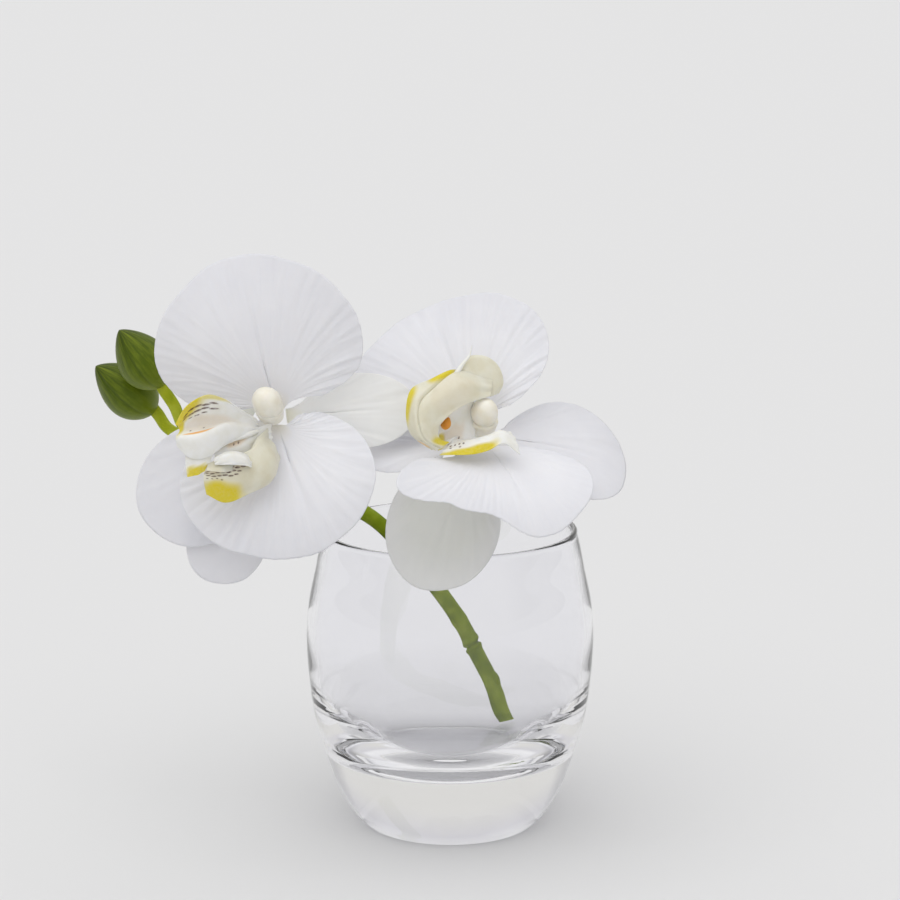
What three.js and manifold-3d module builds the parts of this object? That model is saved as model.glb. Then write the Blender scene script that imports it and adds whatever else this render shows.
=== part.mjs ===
// Moth orchid in a glass vase.
//
// A cut spray of Phalaenopsis stands in a rounded clear tumbler vase with a very thick base.
// The stem stands on the vase floor and leans on its rim. It carries two open flowers on
// short pedicels and two closed buds at its end.
//
// Frame: millimetres, +Z up, +X to the right, +Y to the back. The origin is the centre of
// the vase's flat underside, on the surface that it stands on.

import * as THREE from "three";
import { mergeVertices } from "three/addons/utils/BufferGeometryUtils.js";
import Module from "manifold-3d";

const wasm = await Module();
wasm.setup();

// ---------------------------------------------------------------- driving dimensions

const VASE = {
  height: 92,
  floorHeight: 21.5,      // top of the solid glass base
  rimOuter: 39.2,         // radii of the wall just under the rim
  rimInner: 36.6,
  rimBead: 1.4,           // radius of the fire-polished lip
  segments: 40,
};

const STEM_RADIUS = 2.55;
const JOINT_GAP = 0.03;       // between a side stalk and the stem's skin
const NODE_SWELL = 0.4;       // extra radius where a bract scar rings the stem
const PEDICEL_RADIUS = 1.7;
const TEPAL_THICKNESS = 0.9;
const LOBE_THICKNESS = 0.8;

const LEFT_HUB = [-49.3, -44.9, 135.4];
const RIGHT_HUB = [9.3, -41, 129.6];
const FLOWER_SIZE = 0.961;    // the flowers' own numbers below are for a flower 93 mm across

// ---------------------------------------------------------------- materials

function finish(color, roughness) {
  return new THREE.MeshStandardMaterial({ color, roughness, metalness: 0 });
}

const GLASS = finish("#dfe4e3", 0.03);
const STEM_GREEN = finish("#66741f", 0.5);
const STALK_GREEN = finish("#a8ad39", 0.5);
const BUD_GREEN = finish("#5c6a1c", 0.4);
const PETAL_WHITE = finish("#eeeef0", 0.55);
const LIP_CREAM = finish("#ece9d8", 0.45);
const COLUMN_CREAM = finish("#efece0", 0.4);

// ---------------------------------------------------------------- shape helpers

function vector(point) {
  return new THREE.Vector3(point[0], point[1], point[2]);
}

// A closed solid from a list of rings of points. Each ring closes on itself, and a fan of
// triangles closes each end.
function ringSolid(rings) {
  const points = rings.flat();
  const sides = rings[0].length;
  const faces = [];
  for (let ring = 0; ring + 1 < rings.length; ring += 1) {
    for (let side = 0; side < sides; side += 1) {
      const next = (side + 1) % sides;
      const a = ring * sides + side;
      const b = ring * sides + next;
      faces.push(a, b, b + sides, a, b + sides, a + sides);
    }
  }
  const first = points.length;
  points.push(centreOf(rings[0]));
  const last = points.length;
  points.push(centreOf(rings[rings.length - 1]));
  const end = (rings.length - 1) * sides;
  for (let side = 0; side < sides; side += 1) {
    const next = (side + 1) % sides;
    faces.push(first, next, side);
    faces.push(last, end + side, end + next);
  }
  return indexed(points, faces);
}

function centreOf(ring) {
  const sum = new THREE.Vector3();
  ring.forEach((point) => sum.add(point));
  return sum.divideScalar(ring.length);
}

function indexed(points, faces) {
  const geometry = new THREE.BufferGeometry();
  geometry.setAttribute("position", new THREE.Float32BufferAttribute(points.flatMap((p) => [p.x, p.y, p.z]), 3));
  geometry.setIndex(faces);
  geometry.computeVertexNormals();
  return geometry;
}

// A round stem along a curve. radiusAt gives the radius at 0..1 along it.
function stalk(route, radiusAt, sides, steps) {
  const curve = new THREE.CatmullRomCurve3(route.map(vector), false, "centripetal");
  const frames = curve.computeFrenetFrames(steps, false);
  const rings = [];
  for (let step = 0; step <= steps; step += 1) {
    const centre = curve.getPointAt(step / steps);
    const radius = radiusAt(step / steps);
    const ring = [];
    for (let side = 0; side < sides; side += 1) {
      const angle = (2 * Math.PI * side) / sides;
      ring.push(
        centre.clone()
          .addScaledVector(frames.normals[step], radius * Math.cos(angle))
          .addScaledVector(frames.binormals[step], radius * Math.sin(angle)),
      );
    }
    rings.push(ring);
  }
  return ringSolid(rings);
}

// A thin closed shell around a grid of points, thickened evenly along the surface normal.
// grid[row][column] runs so that row x column points to the seen side.
function shell(grid, thickness) {
  const rows = grid.length;
  const columns = grid[0].length;
  const front = [];
  const back = [];
  for (let row = 0; row < rows; row += 1) {
    for (let column = 0; column < columns; column += 1) {
      const along = grid[Math.min(row + 1, rows - 1)][column].clone().sub(grid[Math.max(row - 1, 0)][column]);
      const across = grid[row][Math.min(column + 1, columns - 1)].clone().sub(grid[row][Math.max(column - 1, 0)]);
      const normal = across.cross(along).normalize();
      front.push(grid[row][column].clone().addScaledVector(normal, thickness / 2));
      back.push(grid[row][column].clone().addScaledVector(normal, -thickness / 2));
    }
  }
  const behind = front.length;
  const faces = [];
  const at = (row, column) => row * columns + column;
  const quad = (a, b, c, d) => faces.push(a, b, c, a, c, d);
  for (let row = 0; row + 1 < rows; row += 1) {
    for (let column = 0; column + 1 < columns; column += 1) {
      const a = at(row, column);
      const b = at(row, column + 1);
      const c = at(row + 1, column + 1);
      const d = at(row + 1, column);
      quad(a, b, c, d);
      quad(behind + d, behind + c, behind + b, behind + a);
    }
    const left = at(row, 0);
    const leftUp = at(row + 1, 0);
    quad(left, leftUp, behind + leftUp, behind + left);
    const right = at(row, columns - 1);
    const rightUp = at(row + 1, columns - 1);
    quad(rightUp, right, behind + right, behind + rightUp);
  }
  for (let column = 0; column + 1 < columns; column += 1) {
    const low = at(0, column);
    quad(low + 1, low, behind + low, behind + low + 1);
    const high = at(rows - 1, column);
    quad(high, high + 1, behind + high + 1, behind + high);
  }
  return indexed([...front, ...back], faces);
}

function solidFrom(geometry) {
  const bare = geometry.clone();
  bare.deleteAttribute("normal");
  bare.deleteAttribute("uv");
  const welded = mergeVertices(bare, 1e-4);
  return new wasm.Manifold(new wasm.Mesh({
    numProp: 3,
    vertProperties: new Float32Array(welded.attributes.position.array),
    triVerts: new Uint32Array(welded.index.array),
  }));
}

function geometryFrom(solid) {
  const mesh = solid.getMesh();
  const geometry = new THREE.BufferGeometry();
  geometry.setAttribute("position", new THREE.BufferAttribute(new Float32Array(mesh.vertProperties), 3));
  geometry.setIndex(new THREE.BufferAttribute(new Uint32Array(mesh.triVerts), 1));
  geometry.computeVertexNormals();
  return geometry;
}

// One solid from several that cross each other.
function joined(geometries) {
  return geometryFrom(geometries.map(solidFrom).reduce((whole, solid) => whole.add(solid)));
}

// A piece with its neighbour's shape taken out of it.
function cutBy(geometry, neighbour) {
  return geometryFrom(solidFrom(geometry).subtract(solidFrom(neighbour)));
}

// ---------------------------------------------------------------- petals and sepals

const TEPAL_ROWS = 6;
const TEPAL_COLUMNS = 14;
const CLAW_HALF_WIDTH = 2.2;
const VEIN_BEND = 0.2;        // veins leave the claw together and bend outwards

// A petal or sepal grows from its root to its tip. Its outline is an ellipse seen from the
// root, so the rows of the grid are rings around the root and the columns follow the veins.
//   face    the way its seen side points
//   width   the ellipse's width; centre is where its widest place is, 0..1 along
//   spread  how far round the root the blade reaches on its left and right, in degrees
//   cup     how far the two side edges come forward, left and right
//   arch    how far the middle stands forward of a straight line from root to tip
//   tipBack how far the end curls back
function tepalGrid(shape) {
  const root = vector(shape.root);
  const along = vector(shape.tip).sub(root);
  const length = along.length();
  along.normalize();
  const across = along.clone().cross(vector(shape.face)).normalize();
  const face = across.clone().cross(along).normalize();
  const centre = shape.centre * length;
  const halfLength = length - centre;
  const halfWidth = shape.width / 2;
  const grid = [];
  for (let row = 0; row <= TEPAL_ROWS; row += 1) {
    const outward = row / TEPAL_ROWS;
    const line = [];
    for (let column = 0; column <= TEPAL_COLUMNS; column += 1) {
      const side = Math.sin((Math.PI / 2) * ((2 * column) / TEPAL_COLUMNS - 1));
      const spread = side < 0 ? shape.spread[0] : shape.spread[1];
      const edgeAngle = THREE.MathUtils.degToRad(spread) * side;
      const edge = edgeDistance(edgeAngle, centre, halfLength, halfWidth) * (1 - 0.22 * side ** 6);
      const angle = edgeAngle * outward ** VEIN_BEND;
      const radius = edge * outward;
      const x = radius * Math.sin(angle) + side * CLAW_HALF_WIDTH * (1 - outward);
      const y = radius * Math.cos(angle);
      const reach = y / length;
      const cup = side < 0 ? shape.cup[0] : shape.cup[1];
      const height = cup * (x / halfWidth) ** 2
        + shape.arch * 4 * reach * (1 - reach)
        - shape.tipBack * Math.max(0, reach - 0.45) ** 2
        + shape.wave * outward ** 2 * Math.sin(shape.waves * edgeAngle + shape.wavePhase);
      line.push(
        root.clone().addScaledVector(across, x).addScaledVector(along, y).addScaledVector(face, height),
      );
    }
    grid.push(line);
  }
  return grid;
}

// Distance from the root to an ellipse around a centre further along, at an angle.
function edgeDistance(angle, centre, halfLength, halfWidth) {
  const a = (Math.sin(angle) / halfWidth) ** 2 + (Math.cos(angle) / halfLength) ** 2;
  const b = (centre * Math.cos(angle)) / halfLength ** 2;
  const c = (centre / halfLength) ** 2 - 1;
  return (b + Math.sqrt(Math.max(0, b * b - a * c))) / a;
}

const PLAIN = { cup: [0, 0], arch: 0, tipBack: 0, wave: 0, waves: 5, wavePhase: 0 };
const PETAL = { ...PLAIN, width: 62, centre: 0.42, spread: [82, 82], cup: [5, 5] };
const SEPAL = { ...PLAIN, width: 30, centre: 0.56, spread: [50, 50] };

// ---------------------------------------------------------------- the lips

// A lobe of a lip is a curled sheet, given by a small net of points that its surface passes
// through: each line of the net runs across the lobe, and the lines follow each other along it.
function lobe(net, lines, steps) {
  const across = net.map((line) => smoothLine(line.map(vector), steps));
  const grid = [];
  for (let row = 0; row <= lines; row += 1) grid.push([]);
  for (let step = 0; step <= steps; step += 1) {
    const rail = smoothLine(across.map((line) => line[step]), lines);
    rail.forEach((point, row) => grid[row].push(point));
  }
  return shell(grid, LOBE_THICKNESS);
}

function smoothLine(points, steps) {
  return new THREE.CatmullRomCurve3(points, false, "centripetal").getPoints(steps);
}

function ellipsoid(centre, radii) {
  const geometry = mergeVertices(new THREE.SphereGeometry(1, 10, 7), 1e-4);
  geometry.scale(...radii);
  geometry.translate(...centre);
  return geometry;
}

// The left flower's lip: an upper side lobe that scrolls over into the white front band,
// a lower side lobe with a rolled rim, the small end flap and the fleshy ridge they grow from.
function leftLip() {
  const upperLobe = lobe([
    [[-5.2, -10.4, 1.2], [-5, -9.6, 0.2], [-4.8, -9.2, -0.8], [-4.6, -9.6, -1.6], [-4.4, -10.2, -2.4]],
    [[-8.6, -15.6, 4.6], [-8.6, -14.2, 2.8], [-8.6, -14, 0.8], [-8.4, -15.6, -0.4], [-8.2, -16, -2.2]],
    [[-13.6, -22, 9.2], [-13, -19, 5.2], [-13, -18, 2], [-13, -21.4, 1.4], [-12.6, -21.6, -3.6]],
    [[-18.4, -25.2, 11], [-19, -21.4, 5.6], [-19, -20.6, 1.4], [-19, -26, -0.2], [-18.4, -25.4, -7.2]],
    [[-23.6, -26, 8.2], [-23.4, -23.6, 4.4], [-23.4, -23.4, 1], [-23.6, -27.4, -0.8], [-23.4, -26.6, -7]],
    [[-27.2, -26.4, 2.6], [-26.4, -25.6, 1.8], [-26.2, -25.8, 0.4], [-27, -27.6, -0.6], [-27, -27.2, -3.4]],
  ], 9, 8);
  const lowerLobe = lobe([
    [[-2.2, -9, -1.8], [-1.6, -9.4, -4.6], [0.2, -9.4, -7.4], [1.2, -9.6, -10.6], [0.4, -10, -13.6]],
    [[-5, -15, -3.8], [-3.8, -16, -5.6], [-0.4, -16.4, -10], [-0.2, -16.4, -15], [-1.8, -15.4, -18.2]],
    [[-9, -20.8, -10.6], [-8.4, -19.6, -7.2], [-7.2, -21.2, -11.6], [-6.8, -21.2, -16], [-7.4, -19.4, -19.6]],
    [[-14, -25.2, -11.6], [-13, -22.6, -7.6], [-13, -23.4, -12], [-12.8, -23.6, -16.6], [-13, -21.6, -20.6]],
    [[-18.6, -26.2, -10.8], [-18.4, -24.6, -9.4], [-19, -25, -12.4], [-19, -25, -15.4], [-18.2, -23.6, -18.6]],
  ], 8, 8);
  const endFlap = lobe([
    [[-16.6, -24, -5.6], [-20, -25.4, -6], [-24.6, -25.8, -6]],
    [[-17.4, -24.4, -8.6], [-20.4, -25.6, -9.4], [-24.4, -26, -10]],
    [[-18.6, -24.2, -10.4], [-21, -25.4, -11.6], [-24.2, -26, -12.8]],
  ], 3, 3);
  const ridge = stalk([[-3.2, -7, -3.2], [-7, -14, -2.6], [-13.4, -21.6, -3.8], [-17, -24.4, -6.4]], () => 1.4, 6, 5);
  return joined([ridge, upperLobe, lowerLobe, endFlap]);
}

// The right flower's lip: a hood that curls from above the column round to its left, a long
// lower lobe with a curled end, a thin back lobe with a tendril, and the callus between them.
function rightLip() {
  const hood = lobe([
    [[2.2, -4.6, 18.2], [2.8, -8.6, 16.4], [2.1, -10.6, 13.4]],
    [[-7.8, -9.4, 21.4], [-6, -14.6, 17.4], [-4.1, -14.4, 12]],
    [[-15.4, -13.6, 18.8], [-13, -18.6, 14], [-9.8, -17, 9]],
    [[-21.3, -16.6, 16], [-17.5, -21, 10], [-12.9, -18.6, 5.6]],
    [[-21.7, -18, 4.6], [-17, -22, 3], [-12.6, -18.4, 2.2]],
    [[-15, -19, -1], [-13, -20.4, -0.6], [-10, -16, 0.6]],
  ], 9, 4);
  const lowerLobe = lobe([
    [[-8.6, -11.6, 1.6], [-10.4, -16.4, 0.4], [-12.7, -20, -1.2]],
    [[-4.6, -10, 1.2], [-4.5, -15.6, 1.6], [-4.1, -18.8, -1.4]],
    [[0.8, -10.2, 2.2], [1.5, -14.8, 3.2], [1.6, -17.6, -0.2]],
    [[4.8, -11, 3.6], [5.5, -13.8, 4.6], [6.2, -16.4, 1.4]],
    [[8, -10.8, 3.8], [9.6, -13.6, 2], [10.9, -15.6, -2.2]],
  ], 8, 4);
  const backLobe = lobe([
    [[-4.6, -6.4, 24], [-5.4, -8.4, 21], [-6, -11, 18]],
    [[2, -3.6, 22.4], [0.4, -6.4, 19.4], [-1, -9.4, 17]],
    [[6.1, -3, 15.6], [4.4, -5.6, 14.8], [2.4, -8.4, 14.6]],
  ], 4, 3);
  const tendril = stalk([[-7.6, -10.4, 21], [-5.6, -9, 24], [-3.4, -7.6, 28]], (t) => 1.1 - 0.8 * t, 5, 3);
  const callus = ellipsoid([-11, -15, 4.6], [2, 2.4, 3]);
  const throat = stalk([[-5, -5.6, 0.8], [-7.4, -9.4, 1], [-10.4, -14.4, 1.8]], () => 1.2, 6, 4);
  return joined([throat, callus, hood, lowerLobe, backLobe, tendril]);
}

// ---------------------------------------------------------------- columns

// The column stands in the middle of a flower and ends in the rounded anther cap.
const CAP_GAP = 0.35;
const CAP_SIDES = 12;
const CAP_LATITUDES = [-0.35, -0.256, -0.162, -0.068, 0.026, 0.12, 0.25, 0.36, 0.45];  // half turns

function column(from, to) {
  return stalk([from, midway(from, to, 0.5), to], (t) => 2.6 + 1.1 * t, 10, 3);
}

function midway(from, to, part) {
  return from.map((value, axis) => value + (to[axis] - value) * part);
}

function antherCap(from, to, radius) {
  const direction = vector(to).sub(vector(from)).normalize();
  const base = vector(to).addScaledVector(direction, CAP_GAP);
  const rings = CAP_LATITUDES.map((latitude) => {
    const angle = latitude * Math.PI;
    const lift = radius * (Math.sin(angle) - Math.sin(CAP_LATITUDES[0] * Math.PI));
    return circle(base.clone().addScaledVector(direction, lift), direction, radius * Math.cos(angle), CAP_SIDES);
  });
  return ringSolid(rings);
}

function circle(centre, direction, radius, sides) {
  const sideways = new THREE.Vector3(0, 0, 1).cross(direction).normalize();
  const upward = direction.clone().cross(sideways);
  const ring = [];
  for (let side = 0; side < sides; side += 1) {
    const angle = (2 * Math.PI * side) / sides;
    ring.push(
      centre.clone()
        .addScaledVector(sideways, radius * Math.cos(angle))
        .addScaledVector(upward, radius * Math.sin(angle)),
    );
  }
  return ring;
}

// ---------------------------------------------------------------- the two flowers

const LEFT_TEPALS = {
  left_upper_petal: {
    ...PETAL, root: [0.2, -0.9, 2.2], tip: [-9, -8, 48.5], face: [-0.08, -0.97, -0.16],
    width: 64, centre: 0.42, spread: [84, 80], cup: [3, 4], arch: 2, tipBack: 10, wave: 0.7,
  },
  left_lower_petal: {
    ...PETAL, root: [0.2, -1.6, -2.2], tip: [2.5, -15, -39.8], face: [-0.1, -0.93, 0.35],
    width: 61, centre: 0.42, spread: [112, 80], cup: [6, 5], arch: 2, tipBack: 8, wave: 0.7,
  },
  left_dorsal_sepal: {
    ...SEPAL, root: [2.6, 1.6, 0.4], tip: [42, 2.6, 2.4], face: [-0.1, -0.99, 0.05],
    width: 23, arch: 1,
  },
  left_outer_lateral_sepal: {
    ...SEPAL, root: [-2.6, 1.6, -2.4], tip: [-38.6, 3.2, -35.4], face: [0, -1, 0], width: 37,
  },
  left_lower_lateral_sepal: {
    ...SEPAL, root: [-5.2, 3.6, -4], tip: [-20.6, 5.6, -53.6], face: [0, -1, 0], width: 27,
    centre: 0.6,
  },
};

const RIGHT_TEPALS = {
  right_upper_petal: {
    ...PETAL, root: [-2, 0.6, 2.8], tip: [-16.5, 19, 36.6], face: [-0.11, -0.9, 0.41],
    width: 63, centre: 0.45, spread: [84, 84], cup: [4, 4], arch: 0, tipBack: 6, wave: 0.7,
  },
  right_lower_petal: {
    ...PETAL, root: [0.6, -3.2, -2.4], tip: [11, -33, -21.8], face: [0.26, -0.5, 0.84],
    width: 59, centre: 0.42, spread: [84, 92], cup: [0, 4], arch: 2, tipBack: 12, wave: 0.7,
  },
  right_dorsal_sepal: {
    ...SEPAL, root: [3.2, 3.2, -1.4], tip: [45.5, 16, -13], face: [0.1, -0.75, 0.66],
    width: 34, arch: 2, tipBack: 8,
  },
  right_side_lateral_sepal: {
    ...SEPAL, root: [-4.6, 2, -2.6], tip: [-42, 7.4, -3.4], face: [-0.1, -0.5, 0.86], width: 28,
  },
  right_hanging_lateral_sepal: {
    ...SEPAL, root: [-4.8, -0.6, -5.6], tip: [-18, -5, -47], face: [-0.1, -0.97, -0.2],
    width: 35, centre: 0.52, spread: [60, 55],
  },
};

const FLOWERS = [
  {
    side: "left", hub: LEFT_HUB, tepals: LEFT_TEPALS, lip: leftLip,
    columnFrom: [-0.8, -2.8, 0], columnTo: [-1.6, -8.6, 4.4], capRadius: 4.6,
  },
  {
    side: "right", hub: RIGHT_HUB, tepals: RIGHT_TEPALS, lip: rightLip,
    columnFrom: [0, -2.4, 1.6], columnTo: [0.3, -6.4, 6], capRadius: 4.1,
  },
];

// ---------------------------------------------------------------- stem, stalks and buds

// The main stem: its cut end stands on the vase floor and it leans on the rim at the back left.
const STEM_ROUTE = [
  [18.6, 10.4, 24.1], [12.6, 14.2, 40], [6.6, 17, 51.5], [-2.8, 18, 66.5], [-20.5, 19, 88],
  [-27.6, 19.8, 93.2], [-34, 19.4, 96.2], [-50, 17.4, 104.4], [-68, 12.5, 113], [-81, 8.6, 119.6],
];
const STEM_NODES = [0.21, 0.27, 0.62, 0.9];

function stemRadius(part) {
  const swell = STEM_NODES.reduce((sum, node) => sum + Math.exp(-(((part - node) / 0.012) ** 2)), 0);
  return STEM_RADIUS * (1 - 0.1 * part) + NODE_SWELL * swell;
}

// Each side stalk starts inside the stem and is cut back to the stem's skin.
const STALKS = {
  left_pedicel: [
    [-64.4, 13.6, 111.8], [-63.5, 10.6, 116.2], [-61.5, -4, 127], [-57.5, -22, 134.4],
    [-52.4, -35.4, 135.6], [-49.6, -38.7, 135.4],
  ],
  right_pedicel: [
    [-13, 18.5, 79.2], [-11, 16.4, 84.5], [-8, 12, 101], [-2, -2, 119], [5, -22, 128.6], [8.8, -36.9, 129.2],
  ],
  lower_bud_stalk: [[-81, 10.2, 118.8], [-83.8, 10.8, 119.6], [-87.4, 13, 121.4], [-90.2, 15, 125]],
  upper_bud_stalk: [[-80.4, 7.2, 120.6], [-82.2, 6.4, 124], [-83.8, 4.2, 129.4], [-86.6, 2.4, 134.6]],
};

// A bud is a pointed egg with a ridge along each of its closed sepals.
const BUDS = {
  lower_bud: { base: [-90.6, 15.4, 125.6], tip: [-108.8, 13, 140.9], width: 16 },
  upper_bud: { base: [-87.2, 2, 135.4], tip: [-100.1, 0, 153.6], width: 15.5 },
};
const BUD_RIDGES = 3;

function bud({ base, tip, width }) {
  const start = vector(base);
  const direction = vector(tip).sub(start);
  const length = direction.length();
  direction.normalize();
  const rings = [];
  const levels = 8;
  const sides = 12;
  for (let level = 0; level <= levels; level += 1) {
    const part = 0.02 + (0.965 * level) / levels;
    const ring = circle(start.clone().addScaledVector(direction, part * length), direction, 1, sides);
    const middle = start.clone().addScaledVector(direction, part * length);
    const radius = (width / 2) * Math.sin(Math.PI * part ** 0.78) ** 0.72;
    ring.forEach((point, side) => {
      const ridge = 1 + 0.05 * Math.cos((2 * Math.PI * BUD_RIDGES * side) / sides);
      point.sub(middle).multiplyScalar(radius * ridge).add(middle);
    });
    rings.push(ring);
  }
  return ringSolid(rings);
}

// ---------------------------------------------------------------- vase

// Outside profile as radius and height, from the foot to just under the rim.
const OUTSIDE = [
  [26.6, 0], [29.9, 3], [34, 10], [37.1, 18], [39.6, 26], [41.8, 34], [43.4, 46],
  [44.1, 60], [43.3, 70], [41.2, 80], [VASE.rimOuter, 89],
];
// Inside profile, from just under the rim down to the edge of the floor.
const INSIDE = [
  [VASE.rimInner, 89], [38.7, 80], [40.9, 70], [41.6, 58], [40.6, 46], [38, 37], [34, 30], [28.6, 24.6],
  [22, VASE.floorHeight],
];

function profile(points, steps) {
  return new THREE.SplineCurve(points.map(([r, z]) => new THREE.Vector2(r, z))).getPoints(steps);
}

function vase() {
  const rimCentre = new THREE.Vector2((VASE.rimOuter + VASE.rimInner) / 2, VASE.height - VASE.rimBead);
  const rim = [];
  for (let step = 1; step < 4; step += 1) {
    const angle = (Math.PI * step) / 4;
    rim.push(new THREE.Vector2(
      rimCentre.x + VASE.rimBead * Math.cos(angle),
      rimCentre.y + VASE.rimBead * Math.sin(angle),
    ));
  }
  const line = [
    new THREE.Vector2(0, 0),
    ...profile(OUTSIDE, 13),
    ...rim,
    ...profile(INSIDE, 12),
    new THREE.Vector2(0, VASE.floorHeight),
  ];
  const geometry = new THREE.LatheGeometry(line, VASE.segments);
  return geometry.rotateX(Math.PI / 2);
}

// ---------------------------------------------------------------- the whole spray

const orchid = new THREE.Group();

function addPiece(parent, name, geometry, material) {
  const mesh = new THREE.Mesh(geometry, material);
  mesh.name = name;
  parent.add(mesh);
}

addPiece(orchid, "vase", vase(), GLASS);
addPiece(orchid, "stem", stalk(STEM_ROUTE, stemRadius, 8, 44), STEM_GREEN);
const stemWithGap = stalk(STEM_ROUTE, (part) => stemRadius(part) + JOINT_GAP, 8, 44);
for (const [name, route] of Object.entries(STALKS)) {
  const rod = stalk(route, () => PEDICEL_RADIUS, 8, 10);
  addPiece(orchid, name, cutBy(rod, stemWithGap), STALK_GREEN);
}
for (const [name, shape] of Object.entries(BUDS)) {
  addPiece(orchid, name, bud(shape), BUD_GREEN);
}

for (const flower of FLOWERS) {
  const group = new THREE.Group();
  group.position.set(...flower.hub);
  group.scale.setScalar(FLOWER_SIZE);
  for (const [name, shape] of Object.entries(flower.tepals)) {
    addPiece(group, name, shell(tepalGrid(shape), TEPAL_THICKNESS), PETAL_WHITE);
  }
  const { columnFrom, columnTo } = flower;
  addPiece(group, `${flower.side}_lip`, flower.lip(), LIP_CREAM);
  addPiece(group, `${flower.side}_column`, column(columnFrom, columnTo), COLUMN_CREAM);
  addPiece(group, `${flower.side}_anther_cap`, antherCap(columnFrom, columnTo, flower.capRadius), COLUMN_CREAM);
  orchid.add(group);
}

export default orchid;
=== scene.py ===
# %% [markdown]
# # Moth orchid in a glass vase
# A cut spray of moth orchid leans in a rounded clear tumbler vase. This file dresses the packed
# CAD model, which is loaded first and fixes every place and size. Each piece is then grown
# over its CAD solid with finer shape, and gets a finish made of shader nodes.
# Lengths are in metres, as Blender has them, and MM turns millimetres into metres.

# %% Load the frame
import math

import bpy
import numpy as np
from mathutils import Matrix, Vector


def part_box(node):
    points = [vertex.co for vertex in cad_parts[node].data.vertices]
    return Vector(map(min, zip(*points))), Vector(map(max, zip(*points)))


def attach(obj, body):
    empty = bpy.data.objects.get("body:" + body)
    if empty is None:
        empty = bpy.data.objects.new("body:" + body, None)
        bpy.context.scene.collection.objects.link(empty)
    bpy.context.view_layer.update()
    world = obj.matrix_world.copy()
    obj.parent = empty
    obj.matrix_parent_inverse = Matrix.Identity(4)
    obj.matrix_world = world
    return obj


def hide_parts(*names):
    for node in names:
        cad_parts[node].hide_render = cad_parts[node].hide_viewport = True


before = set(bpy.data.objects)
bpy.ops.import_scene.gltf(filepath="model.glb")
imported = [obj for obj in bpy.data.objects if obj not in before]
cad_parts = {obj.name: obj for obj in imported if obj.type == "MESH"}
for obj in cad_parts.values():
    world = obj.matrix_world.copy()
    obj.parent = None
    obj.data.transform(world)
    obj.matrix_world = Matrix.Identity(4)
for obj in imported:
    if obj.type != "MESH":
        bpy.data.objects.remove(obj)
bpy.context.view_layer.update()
MM = 0.001
print("pieces in the frame:", len(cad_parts))

# %% [markdown]
# ## Helpers for materials
# Colours are written as sRGB hex values, which is how a paint chart or a web page gives them.
# Shaders work on linear light, so one function turns a hex value into linear numbers.
# A second one adds a node with its settings and its links, so a material reads as a recipe.


# %% Colour and node helpers
def linear(code):
    """Turns an sRGB hex code into linear red, green, blue and alpha."""
    parts = [int(code[i : i + 2], 16) / 255 for i in (1, 3, 5)]
    return [p / 12.92 if p <= 0.04045 else ((p + 0.055) / 1.055) ** 2.4 for p in parts] + [1.0]


def add(tree, kind, inputs=None, stops=None, **settings):
    """Adds a node. An input is a value or another node's socket; stops are a ramp's colours."""
    node = tree.nodes.new(kind)
    for name, value in settings.items():
        setattr(node, name, value)
    if stops:
        elements = node.color_ramp.elements
        while len(elements) < len(stops):
            elements.new(0.5)
        for element, (place, code) in zip(elements, stops):
            element.position = place
            element.color = linear(code)
    for socket, value in (inputs or {}).items():
        if isinstance(value, bpy.types.NodeSocket):
            tree.links.new(value, node.inputs[socket])
        else:
            node.inputs[socket].default_value = value
    return node


def new_material(name):
    made = bpy.data.materials.new(name)
    made.use_nodes = True
    made.node_tree.nodes.clear()
    return made, made.node_tree


def per_metre(size_mm):
    """A texture's scale for a pattern whose marks are size_mm across."""
    return 1.0 / (size_mm * MM)


print("helpers ready; mid grey is", [round(c, 3) for c in linear("#808080")])

# %% [markdown]
# ## Helpers for meshes
# Most pieces of a flower are thin blades. A blade is made as a grid of points, which is then
# given two faces and a rim, so that it is one closed shell. The shell thins towards its margin,
# which is what lets light glow through a real petal's edge.


# %% Mesh helpers
def finish_mesh(name, points, faces, material, uv=None, masks=None, smooth=True):
    mesh = bpy.data.meshes.new(name)
    mesh.from_pydata([tuple(p) for p in points], [], faces)
    mesh.validate()
    if uv is not None:
        layer = mesh.uv_layers.new(name="UVMap")
        corner = np.empty(len(mesh.loops), dtype=np.int64)
        mesh.loops.foreach_get("vertex_index", corner)
        layer.data.foreach_set("uv", np.asarray(uv, dtype=np.float32)[corner].ravel())
    for label, values in (masks or {}).items():
        attribute = mesh.attributes.new(label, "FLOAT", "POINT")
        attribute.data.foreach_set("value", np.asarray(values, dtype=np.float32))
    mesh.shade_smooth() if smooth else mesh.shade_flat()
    mesh.materials.append(material)
    piece = bpy.data.objects.new(name, mesh)
    bpy.context.scene.collection.objects.link(piece)
    return piece


def grid_normals(grid):
    along = np.gradient(grid, axis=0)
    across = np.gradient(grid, axis=1)
    normal = np.cross(across, along)
    return normal / np.maximum(np.linalg.norm(normal, axis=2, keepdims=True), 1e-12)


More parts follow.
